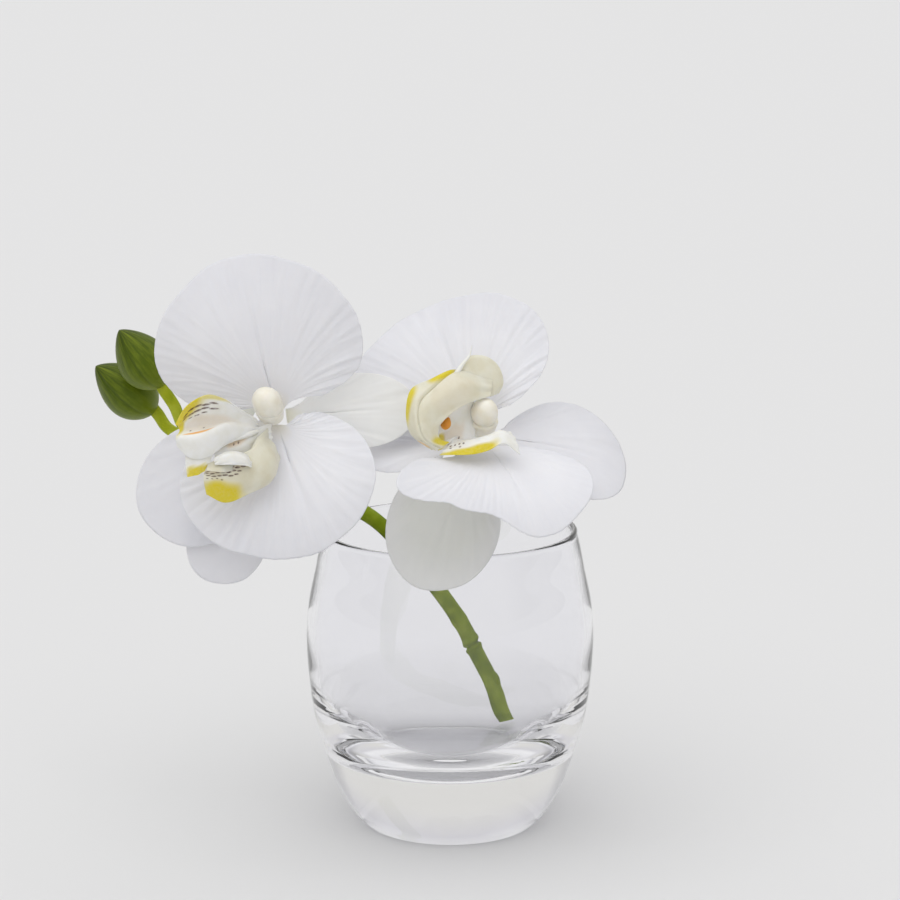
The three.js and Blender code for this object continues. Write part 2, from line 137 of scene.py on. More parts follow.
def shell_parts(grid, thickness):
    """Points and faces of a closed shell around a grid; thickness is a grid of metres."""
    rows, columns = grid.shape[:2]
    normal = grid_normals(grid)
    half = thickness[..., None] / 2
    front = grid + normal * half
    back = grid - normal * half
    points = np.concatenate([front.reshape(-1, 3), back.reshape(-1, 3)])
    index = np.arange(rows * columns).reshape(rows, columns)
    behind = index + rows * columns
    faces = []
    a, b = index[:-1, :-1].ravel(), index[:-1, 1:].ravel()
    c, d = index[1:, 1:].ravel(), index[1:, :-1].ravel()
    faces += np.stack([a, b, c, d], axis=1).tolist()
    offset = rows * columns
    faces += (np.stack([d, c, b, a], axis=1) + offset).tolist()
    for low, high, flip in ((index[:, 0], behind[:, 0], True), (index[:, -1], behind[:, -1], False)):
        for i in range(rows - 1):
            quad = [low[i], high[i], high[i + 1], low[i + 1]]
            faces.append([int(q) for q in (quad[::-1] if flip else quad)])
    for low, high, flip in ((index[0], behind[0], False), (index[-1], behind[-1], True)):
        for i in range(columns - 1):
            quad = [low[i], high[i], high[i + 1], low[i + 1]]
            faces.append([int(q) for q in (quad[::-1] if flip else quad)])
    return points, faces


def smoothstep(value, low, high):
    t = np.clip((value - low) / (high - low), 0, 1)
    return t * t * (3 - 2 * t)


def cad_points(name):
    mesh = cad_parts[name].data
    points = np.array([v.co[:] for v in mesh.vertices])
    return np.unique(np.round(points, 7), axis=0)


def box_centre(name):
    low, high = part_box(name)
    return (np.array(low) + np.array(high)) / 2


print("the vase's CAD solid has", len(cad_points("vase")), "corners")

# %% [markdown]
# ## Petal tissue
# A moth orchid's petal is a few cells of white spongy tissue under a skin of tiny domed cells.
# It looks white because air between the cells scatters light, so the shader is a nearly white
# Principled surface with light that travels a millimetre or two inside it. The domed cells
# give it a soft sparkle instead of a shine: a fine bump, a high roughness and a little sheen.
# Near its claw the tissue is thicker and faintly cream, and at the margin it is thin and cool.


# %% Petal material
def petal_tissue(name, middle, margin, claw):
    made, tree = new_material(name)
    uv = add(tree, "ShaderNodeUVMap", uv_map="UVMap")
    place = add(tree, "ShaderNodeSeparateXYZ", {"Vector": uv.outputs["UV"]})
    coordinates = add(tree, "ShaderNodeTexCoord").outputs["Object"]
    mottle = add(
        tree, "ShaderNodeTexNoise",
        {"Vector": coordinates, "Scale": per_metre(9), "Detail": 3.0, "Roughness": 0.6},
    )
    outward = add(
        tree, "ShaderNodeValToRGB", {"Fac": place.outputs["Y"]},
        stops=[(0.0, claw), (0.16, middle), (0.7, middle), (1.0, margin)],
    )
    cloudy = add(
        tree, "ShaderNodeValToRGB", {"Fac": mottle.outputs["Fac"]},
        stops=[(0.3, "#fbfbfc"), (0.7, "#ffffff")],
    )
    clouded = add(
        tree, "ShaderNodeMix", {0: 1.0, 6: outward.outputs["Color"], 7: cloudy.outputs["Color"]},
        data_type="RGBA", blend_type="MULTIPLY",
    )
    relief = add(tree, "ShaderNodeAttribute", attribute_name="vein")
    lift = add(tree, "ShaderNodeMath", {0: relief.outputs["Fac"], 1: 0.07}, operation="MULTIPLY")
    veined = add(
        tree, "ShaderNodeMix", {0: lift.outputs[0], 6: clouded.outputs[2], 7: linear("#ffffff")},
        data_type="RGBA",
    )
    cells = add(
        tree, "ShaderNodeTexVoronoi",
        {"Vector": coordinates, "Scale": per_metre(0.22), "Randomness": 0.9},
    )
    threads = add(
        tree, "ShaderNodeTexNoise",
        {"Vector": coordinates, "Scale": per_metre(1.6), "Detail": 4.0},
    )
    domes = add(tree, "ShaderNodeMath", {0: cells.outputs["Distance"], 1: 0.5}, operation="MULTIPLY")
    height = add(tree, "ShaderNodeMath", {0: domes.outputs[0], 1: threads.outputs["Fac"]}, operation="ADD")
    bump = add(
        tree, "ShaderNodeBump", {"Height": height.outputs[0], "Strength": 0.10, "Distance": 0.1 * MM}
    )
    surface = add(
        tree, "ShaderNodeBsdfPrincipled",
        {
            "Base Color": veined.outputs[2],
            "Roughness": 0.58,
            "IOR": 1.42,
            "Normal": bump.outputs["Normal"],
            "Subsurface Weight": 0.35,
            "Subsurface Radius": (1.0, 0.92, 0.85),
            "Subsurface Scale": 1.4 * MM,
            "Sheen Weight": 0.08,
            "Sheen Roughness": 0.5,
        },
    )
    add(tree, "ShaderNodeOutputMaterial", {"Surface": surface.outputs["BSDF"]})
    return made


white_petal = petal_tissue("white_orchid_petal", "#e6e6ea", "#e0e0e5", "#e7e4da")
# Partly painted light: the left dorsal sepal's cream base is raised to near white, standing in for light
# that the upper petal's shadow takes from it.
cream_brightened_sepal = petal_tissue("cream_brightened_orchid_sepal", "#f8f8f5", "#f4f4f1", "#f0eedc")
# Painted shade: the hanging sepal gets a darker grey base that stands in for the shadow the lower petal
# casts on it.
shade_darkened_sepal = petal_tissue("shade_darkened_orchid_sepal", "#d7d8d3", "#dcdcda", "#d8d8c8")
print("petal materials:", white_petal.name, cream_brightened_sepal.name)

# %% [markdown]
# ## Growing a blade over its CAD solid
# Each petal and sepal is a thin CAD shell of a few hundred faces. Its outline and its bending
# are measured there and then drawn again as smooth curves: the outline as a distance from the
# claw at each angle, and the bending as a low polynomial. The veins then run outwards from the
# claw as the real ones do, fork once on the way, and swell into soft pleats at the margin.


# %% Measure a blade
def blade_plane(name, hub):
    """Root, tip direction, width direction and facing of a petal's CAD shell."""
    points = cad_points(name)
    claw = 30
    near = points[np.argsort(np.linalg.norm(points - hub, axis=1))[:claw]]
    root = near.mean(axis=0)
    along = (points - root).mean(axis=0)
    along /= np.linalg.norm(along)
    spread = points - root
    flat = np.linalg.svd(spread - spread.mean(axis=0))[2][2]
    flat *= np.sign(flat @ np.array([0.0, -1.0, 0.3]))
    flat -= along * (flat @ along)
    flat /= np.linalg.norm(flat)
    across = np.cross(along, flat)
    return root, along, across, flat


def blade_outline(name, plane, samples=181):
    """Angles across the blade and the margin's distance at each, as a smooth curve."""
    root, along, across, flat = plane
    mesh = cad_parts[name].data
    mesh.calc_loop_triangles()
    corners = np.array([v.co[:] for v in mesh.vertices])
    triangles = np.array([t.vertices[:] for t in mesh.loop_triangles])
    x = (corners - root) @ across
    y = (corners - root) @ along
    wide = np.degrees(np.arctan2(x, y))[np.hypot(x, y) > 9 * MM]
    edge_angles = np.radians([wide.min() + 0.5, wide.max() - 0.5])
    angles = np.linspace(edge_angles[0], edge_angles[1], samples)
    starts = np.concatenate([triangles[:, 0], triangles[:, 1], triangles[:, 2]])
    ends = np.concatenate([triangles[:, 1], triangles[:, 2], triangles[:, 0]])
    distance = []
    for angle in angles:
        ray = np.array([math.sin(angle), math.cos(angle)])
        side_a = ray[0] * y[starts] - ray[1] * x[starts]
        side_b = ray[0] * y[ends] - ray[1] * x[ends]
        cross = side_a * side_b < 0
        t = side_a[cross] / (side_a[cross] - side_b[cross])
        px = x[starts][cross] + t * (x[ends][cross] - x[starts][cross])
        py = y[starts][cross] + t * (y[ends][cross] - y[starts][cross])
        distance.append((px * ray[0] + py * ray[1]).max())
    middle = angles.mean()
    half = (angles[-1] - angles[0]) / 2
    basis = np.polynomial.chebyshev.chebvander((angles - middle) / half, 12)
    curve = np.linalg.lstsq(basis, np.array(distance), rcond=None)[0]
    return middle, half, curve


def blade_bending(name, plane, degree=4):
    """The blade's height above its plane, as a polynomial in x and y in centimetres."""
    root, along, across, flat = plane
    points = cad_points(name) - root
    x, y, z = points @ across * 100, points @ along * 100, points @ flat
    powers = [(i, j) for i in range(degree + 1) for j in range(degree + 1 - i)]
    table = np.stack([x**i * y**j for i, j in powers], axis=1)
    weights = np.linalg.lstsq(table, z, rcond=None)[0]
    return powers, weights


def hub_of(side):
    """Where a flower's pieces meet: the end of its column away from the anther cap."""
    cap = box_centre(f"{side}_anther_cap")
    body = cad_points(f"{side}_column")
    return body[np.argsort(-np.linalg.norm(body - cap, axis=1))[:8]].mean(axis=0)


hubs = {side: hub_of(side) for side in ("left", "right")}
print("flower centres in mm:", {side: np.round(hub / MM, 1).tolist() for side, hub in hubs.items()})


# %% Veins
def vein_relief(side, outward, veins, rng):
    """Soft uneven pleats that run outwards, with finer forked veins on top of them."""
    pleats = np.zeros_like(side)
    for number in range(9):
        rate = veins * rng.uniform(0.4, 1.6) * math.pi
        bend = rng.uniform(-1.2, 1.2) * np.sign(side) * smoothstep(np.abs(side), 0.0, 0.2)
        swing = 0.5 * np.sin(rng.uniform(3, 7) * outward + rng.uniform(0, 6.28))
        fade = 0.5 + 0.5 * np.sin(rng.uniform(2, 6) * outward + 2.5 * side + rng.uniform(0, 6.28))
        pleats += fade * np.sin(rate * side + rng.uniform(0, 6.28) + 2.4 * bend * outward + swing)
    threads = np.zeros_like(side)
    gap = 2.0 / veins
    for number in range(veins):
        base = -1 + gap * (number + 0.5) + rng.normal(0, 0.16) * gap
        sway = rng.normal(0, 0.14) * gap
        fork_at = rng.uniform(0.22, 0.62)
        for branch in (-1, 1):
            opening = rng.uniform(0.16, 0.32) * gap * branch
            line = base + opening * smoothstep(outward, fork_at, 1.0) + sway * np.sin(3.2 * outward)
            sharp = rng.uniform(0.07, 0.12) * gap
            weight = rng.uniform(0.3, 1.0)
            threads = np.maximum(threads, weight * np.exp(-(((side - line) / sharp) ** 2)))
    return 0.09 * pleats + 0.42 * threads


# %% [markdown]
# The same builder makes petals and sepals. A petal is a broad fan with many forking veins and a
# crease down its middle; a sepal is a narrower ellipse with fewer veins that run lengthwise.

# %% Build one blade
CLAW_WIDTH = 2.1 * MM  # half the width of the blade where it leaves the flower's middle
VEIN_BEND = 0.2  # low values let the veins leave the claw together before they spread


def gentle_steps(value, stops):
    """Follows (place, height) stops with smooth steps between them."""
    height = np.full_like(value, stops[0][1])
    for (low, start), (high, end) in zip(stops[:-1], stops[1:]):
        height = height + (end - start) * smoothstep(value, low, high)
    return height


def grow_blade(name, side_name, material, veins, rows, columns, seed, pleat=1.0, wave=0.5, crease=0.7,
               limits=None, reach=None):
    """One petal or sepal. pleat, wave and crease are heights in millimetres."""
    plane = blade_plane(name, hubs[side_name])
    root, along, across, flat = plane
    middle, half, curve = blade_outline(name, plane)
    powers, weights = blade_bending(name, plane)
    rng = np.random.default_rng(seed)
    side = np.sin(np.linspace(-np.pi / 2, np.pi / 2, columns))[None, :].repeat(rows, axis=0)
    outward = (np.linspace(0, 1, rows) ** 0.85)[:, None].repeat(columns, axis=1)
    low, high = np.radians(limits) if limits else (middle - half, middle + half)
    edge_angle = (low + high) / 2 + (high - low) / 2 * side
    edge = np.polynomial.chebyshev.chebval((edge_angle - middle) / half, curve)
    if reach:
        edge = edge * gentle_steps(np.degrees(edge_angle), reach)
    corner = np.clip((np.abs(side) - 0.86) / 0.14, 0, 1)
    edge = edge * np.sqrt(1 - 0.55 * corner**2)
    ripple = 0.004 * np.sin(9 * edge_angle + seed) + 0.003 * np.sin(17 * edge_angle + 2 * seed)
    radius = edge * (1 + ripple * outward**4) * outward
    centre_angle = (low + high) / 2
    angle = centre_angle + (edge_angle - centre_angle) * outward**VEIN_BEND
    x = radius * np.sin(angle) + side * CLAW_WIDTH * (1 - outward) ** 2
    y = radius * np.cos(angle)
    z = sum(w * (x * 100) ** i * (y * 100) ** j for (i, j), w in zip(powers, weights))
    relief = vein_relief(side, outward, veins, rng)
    grown = smoothstep(outward, 0.12, 0.85) * (0.45 + 0.55 * np.abs(side) ** 0.7)
    z = z + pleat * MM * grown * relief
    z = z - crease * MM * np.exp(-((side / 0.035) ** 2)) * smoothstep(outward, 0.05, 0.25) * (
        1 - smoothstep(outward, 0.55, 0.95)
    )
    z = z + wave * MM * outward**4 * np.sin(5 * edge_angle + 1.7 * seed)
    grid = root + x[..., None] * across + y[..., None] * along + z[..., None] * flat
    thickness = MM * (0.22 + 0.45 * (1 - outward**3) * (1 - 0.5 * side**2))
    points, faces = shell_parts(grid, thickness)
    uv = np.stack([(side + 1) / 2, outward], axis=2).reshape(-1, 2)
    vein = (relief * grown).ravel()
    piece = finish_mesh(
        f"{name}_blade", points, faces, material,
        uv=np.concatenate([uv, uv]), masks={"vein": np.concatenate([vein, vein])},
    )
    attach(piece, "root")
    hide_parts(name)
    return piece


PETAL_NAMES = {
    "left": ["left_upper_petal", "left_lower_petal"],
    "right": ["right_upper_petal", "right_lower_petal"],
}
SEPAL_NAMES = {
    "left": ["left_dorsal_sepal", "left_outer_lateral_sepal", "left_lower_lateral_sepal"],
    "right": ["right_dorsal_sepal", "right_side_lateral_sepal", "right_hanging_lateral_sepal"],
}
# The hanging sepal's darker grey tissue is painted shade. The left dorsal sepal's tissue is cream and also
# painted brighter.
SEPAL_TISSUE = {"left_dorsal_sepal": cream_brightened_sepal, "right_hanging_lateral_sepal": shade_darkened_sepal}
# The right flower's lower petal lies flatter than the others and reaches further to its right.
# limits are its edge angles in degrees, and reach stretches its margin at (angle, factor) stops.
RESHAPED = {
    "right_lower_petal": {
        "limits": (-84, 68), "reach": [(-12, 1.0), (18, 0.86), (36, 0.93), (60, 1.28)],
        "pleat": 0.35, "wave": 0.2, "crease": 0.3,
    },
}
blades = {}
for flower, names in PETAL_NAMES.items():
    for number, name in enumerate(names):
        blades[name] = grow_blade(
            name, flower, white_petal, 23, 62, 220, seed=3 + number, **RESHAPED.get(name, {})
        )
for flower, names in SEPAL_NAMES.items():
    for number, name in enumerate(names):
        blades[name] = grow_blade(
            name, flower, SEPAL_TISSUE.get(name, white_petal), 9, 58, 116, seed=11 + number,
            pleat=0.6, crease=0.35,
        )
print("blades:", len(blades), "faces:", sum(len(b.data.polygons) for b in blades.values()))

# %% [markdown]
# ## Lips
# The lip is the flower's third petal, folded into side lobes and a tongue, thick and waxy.
# Every lobe is a curled sheet, so it is given by a small net of listed points, in
# millimetres from the flower's centre, and a smooth surface is passed through them. Colour
# marks are painted as masks in the sheet's own coordinates, so they follow its curl.

# %% Smooth surfaces through a net
FLOWER_CENTRE = {"left": np.array([-49.3, -44.9, 135.4]), "right": np.array([9.3, -41.0, 129.6])}
FLOWER_SIZE = 0.961


def smooth_line(points, count):
    """count points on a centripetal Catmull-Rom curve through the given ones."""
    given = np.asarray(points, dtype=float)
    padded = np.concatenate([[2 * given[0] - given[1]], given, [2 * given[-1] - given[-2]]])
    line = []
    for t in np.linspace(0, len(given) - 1, count):
        segment = min(int(t), len(given) - 2)
        p0, p1, p2, p3 = padded[segment : segment + 4]
        d0 = max(np.linalg.norm(p1 - p0), 1e-9) ** 0.5
        d1 = max(np.linalg.norm(p2 - p1), 1e-9) ** 0.5
        d2 = max(np.linalg.norm(p3 - p2), 1e-9) ** 0.5
        start = ((p1 - p0) / d0 - (p2 - p0) / (d0 + d1) + (p2 - p1) / d1) * d1
        end = ((p2 - p1) / d1 - (p3 - p1) / (d1 + d2) + (p3 - p2) / d2) * d1
        u = t - segment
        line.append(
            (2 * u**3 - 3 * u**2 + 1) * p1
            + (u**3 - 2 * u**2 + u) * start
            + (3 * u**2 - 2 * u**3) * p2
            + (u**3 - u**2) * end
        )
    return np.array(line)


def net_surface(net, rows, columns):
    """A grid through a net: each net line runs across, and the lines follow each other along."""
    across = np.array([smooth_line(line, columns) for line in net])
    rails = [smooth_line(across[:, column], rows) for column in range(columns)]
    return np.stack(rails, axis=1)


def patch_mask(s, t, patches, seed):
    """Soft-edged painted marks: each is (s, t, half width in s, in t, strength)."""
    rng = np.random.default_rng(seed)
    mask = np.zeros_like(s)
    for place_s, place_t, wide, tall, strength in patches:
        shift = rng.uniform(0, 6.28, 3)
        edge = 1 + 0.07 * np.sin(9 * s + 5 * t + shift[0]) + 0.05 * np.sin(23 * t - 14 * s + shift[1])
        away = np.hypot((s - place_s) / wide, (t - place_t) / tall) * edge
        mask = np.maximum(mask, strength * (1 - smoothstep(away, 0.6, 1.15)))
    return mask


MARKS = ("yellow", "orange", "brown", "blush")


LOBE_THICKNESS = 0.5 * MM
EDGE_THINNING = 0.5


def lip_lobe(name, flower, net, paint, material, rows, columns, seed, fold=None):
    """A closed curled sheet; fold is a ridge from one place across to another: (start, end, mm, width)."""
    grid = (net_surface(net, rows, columns) * FLOWER_SIZE + FLOWER_CENTRE[flower]) * MM
    s, t = np.meshgrid(np.linspace(0, 1, columns), np.linspace(0, 1, rows))
    rim = np.minimum(np.minimum(s, 1 - s), np.minimum(t, 1 - t))
    thick = LOBE_THICKNESS * (EDGE_THINNING + (1 - EDGE_THINNING) * smoothstep(rim, 0.0, 0.22))
    ruffle = 0.16 * MM * (1 - smoothstep(rim, 0.0, 0.2)) * np.sin(19 * s + 13 * t + seed)
    if fold:
        start, end, depth, width = fold
        ruffle = ruffle + depth * MM * np.exp(-(((s - start - (end - start) * t) / width) ** 2))
    grid = grid + grid_normals(grid) * ruffle[..., None]
    points, faces = shell_parts(grid, thick)
    uv = np.stack([s, t], axis=2).reshape(-1, 2)
    masks = {}
    for mark in MARKS:
        values = patch_mask(s, t, paint.get(mark, []), seed + len(mark)).ravel()
        masks[mark] = np.concatenate([values, values])
    masks["rim"] = np.tile(rim.ravel(), 2)
    return finish_mesh(name, points, faces, material, uv=np.concatenate([uv, uv]), masks=masks)


# %% [markdown]
# Lip tissue is denser than petal tissue and has a wax-like skin, so it shines a little more and
# its light travels further inside. Carotene makes the yellow, and it lies at the lobes' tips;
# the brown-red marks are rows of pigment spots that guide an insect in.


# %% Lip and column materials
def lip_tissue(name, base, deep):
    made, tree = new_material(name)
    coordinates = add(tree, "ShaderNodeTexCoord").outputs["Object"]
    mottle = add(
        tree, "ShaderNodeTexNoise", {"Vector": coordinates, "Scale": per_metre(4), "Detail": 3.0}
    )
    flesh = add(
        tree, "ShaderNodeValToRGB", {"Fac": mottle.outputs["Fac"]}, stops=[(0.32, deep), (0.62, base)]
    )
    colour = flesh.outputs["Color"]
    grain = add(
        tree, "ShaderNodeTexNoise",
        {"Vector": coordinates, "Scale": per_metre(0.8), "Detail": 4.0, "Roughness": 0.7},
    )
    tints = {"blush": "#dcc3a8", "yellow": "#d6c41c", "orange": "#e8a32c", "brown": "#4e2a1c"}
    for mark, tint in tints.items():
        mask = add(tree, "ShaderNodeAttribute", attribute_name=mark).outputs["Fac"]
        # Brown spots are painted more unevenly than the broad patches.
        uneven = add(
            tree, "ShaderNodeMapRange",
            {
                "Value": grain.outputs["Fac"], "From Min": 0.35, "From Max": 0.6,
                "To Min": 0.55 if mark == "brown" else 0.9, "To Max": 1.0,
            },
        )
        broken = add(
            tree, "ShaderNodeMath", {0: mask, 1: uneven.outputs["Result"]}, operation="MULTIPLY"
        )
        tinted = add(
            tree, "ShaderNodeMix", {0: broken.outputs[0], 6: colour, 7: linear(tint)}, data_type="RGBA"
        )
        colour = tinted.outputs[2]
    bump = add(
        tree, "ShaderNodeBump",
        {"Height": grain.outputs["Fac"], "Strength": 0.15, "Distance": 0.12 * MM},
    )
    surface = add(
        tree, "ShaderNodeBsdfPrincipled",
        {
            "Base Color": colour,
            "Roughness": 0.42,
            "IOR": 1.44,
            "Normal": bump.outputs["Normal"],
            "Subsurface Weight": 0.35,
            "Subsurface Radius": (1.0, 0.9, 0.7),
            "Subsurface Scale": 1.2 * MM,
            "Coat Weight": 0.12,
            "Coat Roughness": 0.3,
        },
    )
    add(tree, "ShaderNodeOutputMaterial", {"Surface": surface.outputs["BSDF"]})
    return made


white_lip = lip_tissue("waxy_white_lip", "#ededea", "#e6e5dd")
cream_lip = lip_tissue("waxy_cream_lip", "#dfdccb", "#d7d2bc")
# Partly painted light: the column's cream base is made brighter than the lip's, standing in for light that
# the hood's shade takes from it.
cream_brightened_column_wax = lip_tissue("waxy_cream_brightened_column", "#f4f1e6", "#ece6d4")
print("lip materials:", white_lip.name, cream_lip.name, cream_brightened_column_wax.name)

# %% The left flower's lip
LEFT_UPPER_LOBE = [
    [[-5.2, -10.4, 1.2], [-5, -9.6, 0.2], [-4.8, -9.2, -0.8], [-4.6, -9.6, -1.6], [-4.4, -10.2, -2.4]],
    [[-8.6, -15.6, 4.6], [-8.6, -14.2, 2.8], [-8.6, -14, 0.8], [-8.4, -15.6, -0.4], [-8.2, -16, -2.2]],
    [[-13.6, -22, 9.2], [-13, -19, 5.2], [-13, -18, 2], [-13, -21.4, 1.4], [-12.6, -21.6, -3.6]],
    [[-18.4, -25.2, 11], [-19, -21.4, 5.6], [-19, -20.6, 1.4], [-19, -26, -0.2], [-18.4, -25.4, -7.2]],
    [
        [-23.6, -26, 8.2], [-23.4, -23.6, 4.4], [-23.4, -23.4, 1],
        [-23.6, -27.4, -0.8], [-23.4, -26.6, -7],
    ],
    [
        [-27.2, -26.4, 2.6], [-26.4, -25.6, 1.8], [-26.2, -25.8, 0.4],
        [-27, -27.6, -0.6], [-27, -27.2, -3.4],
    ],
]
LEFT_LOWER_LOBE = [
    [[-2.2, -9, -1.8], [-1.6, -9.4, -4.6], [0.2, -9.4, -7.4], [1.2, -9.6, -10.6], [0.4, -10, -13.6]],
    [
        [-5, -15, -3.8], [-3.8, -16, -5.6], [-0.4, -16.4, -10],
        [-0.2, -16.4, -14.6], [-1.8, -15.4, -17.2],
    ],
    [
        [-9, -20.8, -10.6], [-8.4, -19.6, -7.2], [-7.2, -21.2, -11],
        [-6.8, -21.2, -14.6], [-7.8, -19.8, -19.4],
    ],
    [
        [-14, -25.2, -11.6], [-13, -22.6, -7.6], [-13.2, -23.4, -11.2],
        [-13.2, -23.6, -15], [-14, -22, -21.2],
    ],
    [
        [-18.6, -26.2, -10.8], [-18.4, -24.6, -9.4], [-19.4, -25, -11.8],
        [-19.6, -25, -14], [-19, -23.8, -18.4],
    ],
]
LEFT_END_FLAP = [
    [[-16.6, -24, -5.6], [-20, -25.4, -6], [-24.6, -25.8, -6]],
    [[-17.4, -24.4, -7.8], [-20.6, -25.6, -8.4], [-24.6, -26, -8.8]],
    [[-18, -24.2, -10.4], [-21, -25.4, -12.2], [-24.2, -26, -12.8]],
]
LEFT_TONGUE = [
    [[-16.6, -23.6, -7.6], [-16.4, -25.2, -8.4], [-16.2, -25.4, -9.4]],
    [[-13.6, -22.6, -6.4], [-13.6, -25, -6.9], [-13.4, -25.6, -9.3]],
    [[-10.6, -21.6, -6.1], [-10.6, -24.4, -6.6], [-10.4, -25.2, -9.4]],
    [[-7.8, -20.6, -7.4], [-7.6, -23.4, -7.9], [-7.6, -24.2, -9.8]],
    [[-6.2, -20.2, -9.4], [-6, -22.6, -9.9], [-6, -23, -10.6]],
]
LEFT_THROAT = [
    [[-1, -7, -0.5], [-1.2, -8.5, -3], [-0.6, -8, -5.5]],
    [[-6, -12, -1.5], [-6.4, -14.5, -4.5], [-5.6, -14, -8]],
    [[-11.5, -17, -2.5], [-11.5, -19.5, -6], [-11.5, -19.5, -10]],
    [[-16.5, -22, -4.5], [-16.5, -23, -7.5], [-16.5, -23, -10.5]],
]


def dashes(across, start, end, count, width, length, strength=1.0):
    """A row of short painted dashes from start to end along a sheet, at one place across it."""
    places = np.linspace(start, end, count)
    sway = 0.012 * np.sin(np.arange(count) * 2.3 + 40 * across)
    return [(across + shift, place, width, length, strength) for place, shift in zip(places, sway)]


LEFT_UPPER_PAINT = {
    "yellow": [(0.0, 0.86, 0.3, 0.26, 1.0), (0.3, 1.0, 0.45, 0.11, 0.95), (0.0, 0.55, 0.07, 0.2, 0.7)],
    "blush": [(0.48, 0.62, 0.2, 0.34, 0.3)],
    "orange": [(0.70, 0.70, 0.022, 0.2, 0.9)],
    "brown": dashes(0.13, 0.52, 0.86, 5, 0.018, 0.052)
    + dashes(0.20, 0.52, 0.88, 5, 0.017, 0.055)
    + dashes(0.27, 0.62, 0.8, 3, 0.013, 0.04)
    + dashes(0.6, 0.62, 0.78, 2, 0.02, 0.014),
}
LEFT_LOWER_PAINT = {
    "yellow": [(1.0, 0.8, 0.31, 0.27, 1.0)],
    "brown": dashes(0.47, 0.55, 0.97, 7, 0.018, 0.036)
    + dashes(0.54, 0.6, 0.97, 7, 0.019, 0.032)
    + dashes(0.61, 0.64, 0.95, 6, 0.018, 0.032)
    + dashes(0.68, 0.8, 0.96, 4, 0.014, 0.014),
    "blush": [(0.45, 0.8, 0.1, 0.3, 0.3)],
}
LEFT_FLAP_PAINT = {"yellow": [(0.55, 1.0, 0.6, 0.42, 1.0)]}
LEFT_THROAT_PAINT = {
    "blush": [(0.1, 0.62, 0.36, 0.22, 0.8)],
    "brown": dashes(0.16, 0.56, 0.7, 3, 0.07, 0.018) + dashes(0.34, 0.58, 0.66, 2, 0.05, 0.016),
    "orange": [(0.12, 0.9, 0.12, 0.06, 0.8)],
}
left_lip = [
    lip_lobe(
        "left_lip_upper_lobe", "left", LEFT_UPPER_LOBE, LEFT_UPPER_PAINT,
        white_lip, 124, 104, seed=2,
    ),
    lip_lobe(
        "left_lip_lower_lobe", "left", LEFT_LOWER_LOBE, LEFT_LOWER_PAINT,
        cream_lip, 124, 104, seed=3,
    ),
    lip_lobe(
        "left_lip_end_flap", "left", LEFT_END_FLAP, LEFT_FLAP_PAINT,
        white_lip, 60, 60, seed=4,
    ),
    lip_lobe("left_lip_tongue", "left", LEFT_TONGUE, {}, white_lip, 60, 40, seed=10),
    lip_lobe("left_lip_throat", "left", LEFT_THROAT, LEFT_THROAT_PAINT, white_lip, 100, 70, seed=8),
]
print("left lip lobes:", [lobe.name for lobe in left_lip])

# %% The right flower's lip
RIGHT_HOOD = [
    [[2.2, -4.6, 18.2], [2.8, -8.6, 16.4], [2.1, -10.6, 13.4]],
    [[-7.8, -9.4, 21.4], [-6, -14.6, 17.4], [-4.1, -14.4, 12]],
    [[-15.4, -13.6, 18.8], [-13, -18.6, 14], [-9.8, -17, 9]],
    [[-21.3, -16.6, 16], [-17.5, -21, 10], [-12.9, -18.6, 5.6]],
    [[-21.7, -18, 4.6], [-17, -22, 3], [-12.6, -18.4, 2.2]],
    [[-15, -19, -1], [-13, -20.4, -0.6], [-10, -16, 0.6]],
]
RIGHT_LOWER_LOBE = [
    [[-8.6, -11.6, 0.6], [-10.4, -16.4, -0.7], [-12.7, -20, -2.3]],
    [[-4.6, -10, 0.2], [-4.5, -15.6, 0.4], [-4.1, -18.8, -2.5]],
    [[0.8, -10.2, 1.2], [1.5, -14.8, 2.0], [1.6, -17.6, -1.4]],
    [[4.8, -11, 2.6], [5.5, -13.8, 3.5], [6.2, -16.4, 0.3]],
    [[8, -10.8, 2.8], [9.6, -13.6, 1], [10.9, -15.6, -3.1]],
]
RIGHT_BACK_LOBE = [
    [[-7.2, -8.4, 21.6], [-7, -9.6, 20], [-6.8, -11.4, 17.4]],
    [[-3.4, -5.4, 24.6], [-4.2, -7.8, 21.6], [-4.8, -10.6, 17.6]],
    [[1.4, -3.6, 23.8], [0, -6.2, 20.4], [-1.2, -9.6, 16.8]],
    [[4.8, -3, 20.6], [3, -5.6, 17.8], [1, -8.8, 15.4]],
    [[6.2, -3.2, 16.2], [4.2, -5.8, 15], [2, -8.4, 14]],
    [[4.6, -4.6, 13.2], [3.4, -6.4, 13], [2.2, -8, 12.8]],
]
RIGHT_INNER_CUP = [
    [[-3, -10.5, 13], [-2, -6.5, 7], [-2.4, -8.5, 0.4]],
    [[-7.6, -13, 11], [-6.2, -8.6, 5.5], [-6.8, -11, -1]],
    [[-14, -16.5, 7], [-12.8, -12.6, 3], [-13.2, -15, -2]],
]
RIGHT_HOOD_PAINT = {
    "yellow": [
        (0.0, 0.31, 0.13, 0.13, 1.0), (0.0, 0.64, 0.17, 0.12, 0.95), (0.95, 0.9, 0.3, 0.15, 0.95),
    ],
    "orange": [(0.05, 0.93, 0.2, 0.05, 0.45)],
    "blush": [(0.6, 0.3, 0.5, 0.2, 0.12)],
    "brown": dashes(0.3, 0.86, 0.9, 1, 0.03, 0.01),
}
RIGHT_LOWER_PAINT = {
    "yellow": [(0.95, 0.33, 0.26, 0.38, 1.0)],
    "brown": dashes(0.5, 0.04, 0.2, 4, 0.05, 0.014) + dashes(0.66, 0.06, 0.16, 2, 0.04, 0.013),
}
RIGHT_CUP_PAINT = {
    "blush": [(0.75, 0.7, 0.3, 0.35, 0.35)],
    "brown": dashes(0.84, 0.55, 0.9, 4, 0.035, 0.02) + dashes(0.93, 0.6, 0.95, 3, 0.03, 0.02),
    "yellow": [(0.8, 1.0, 0.3, 0.14, 0.9)],
}
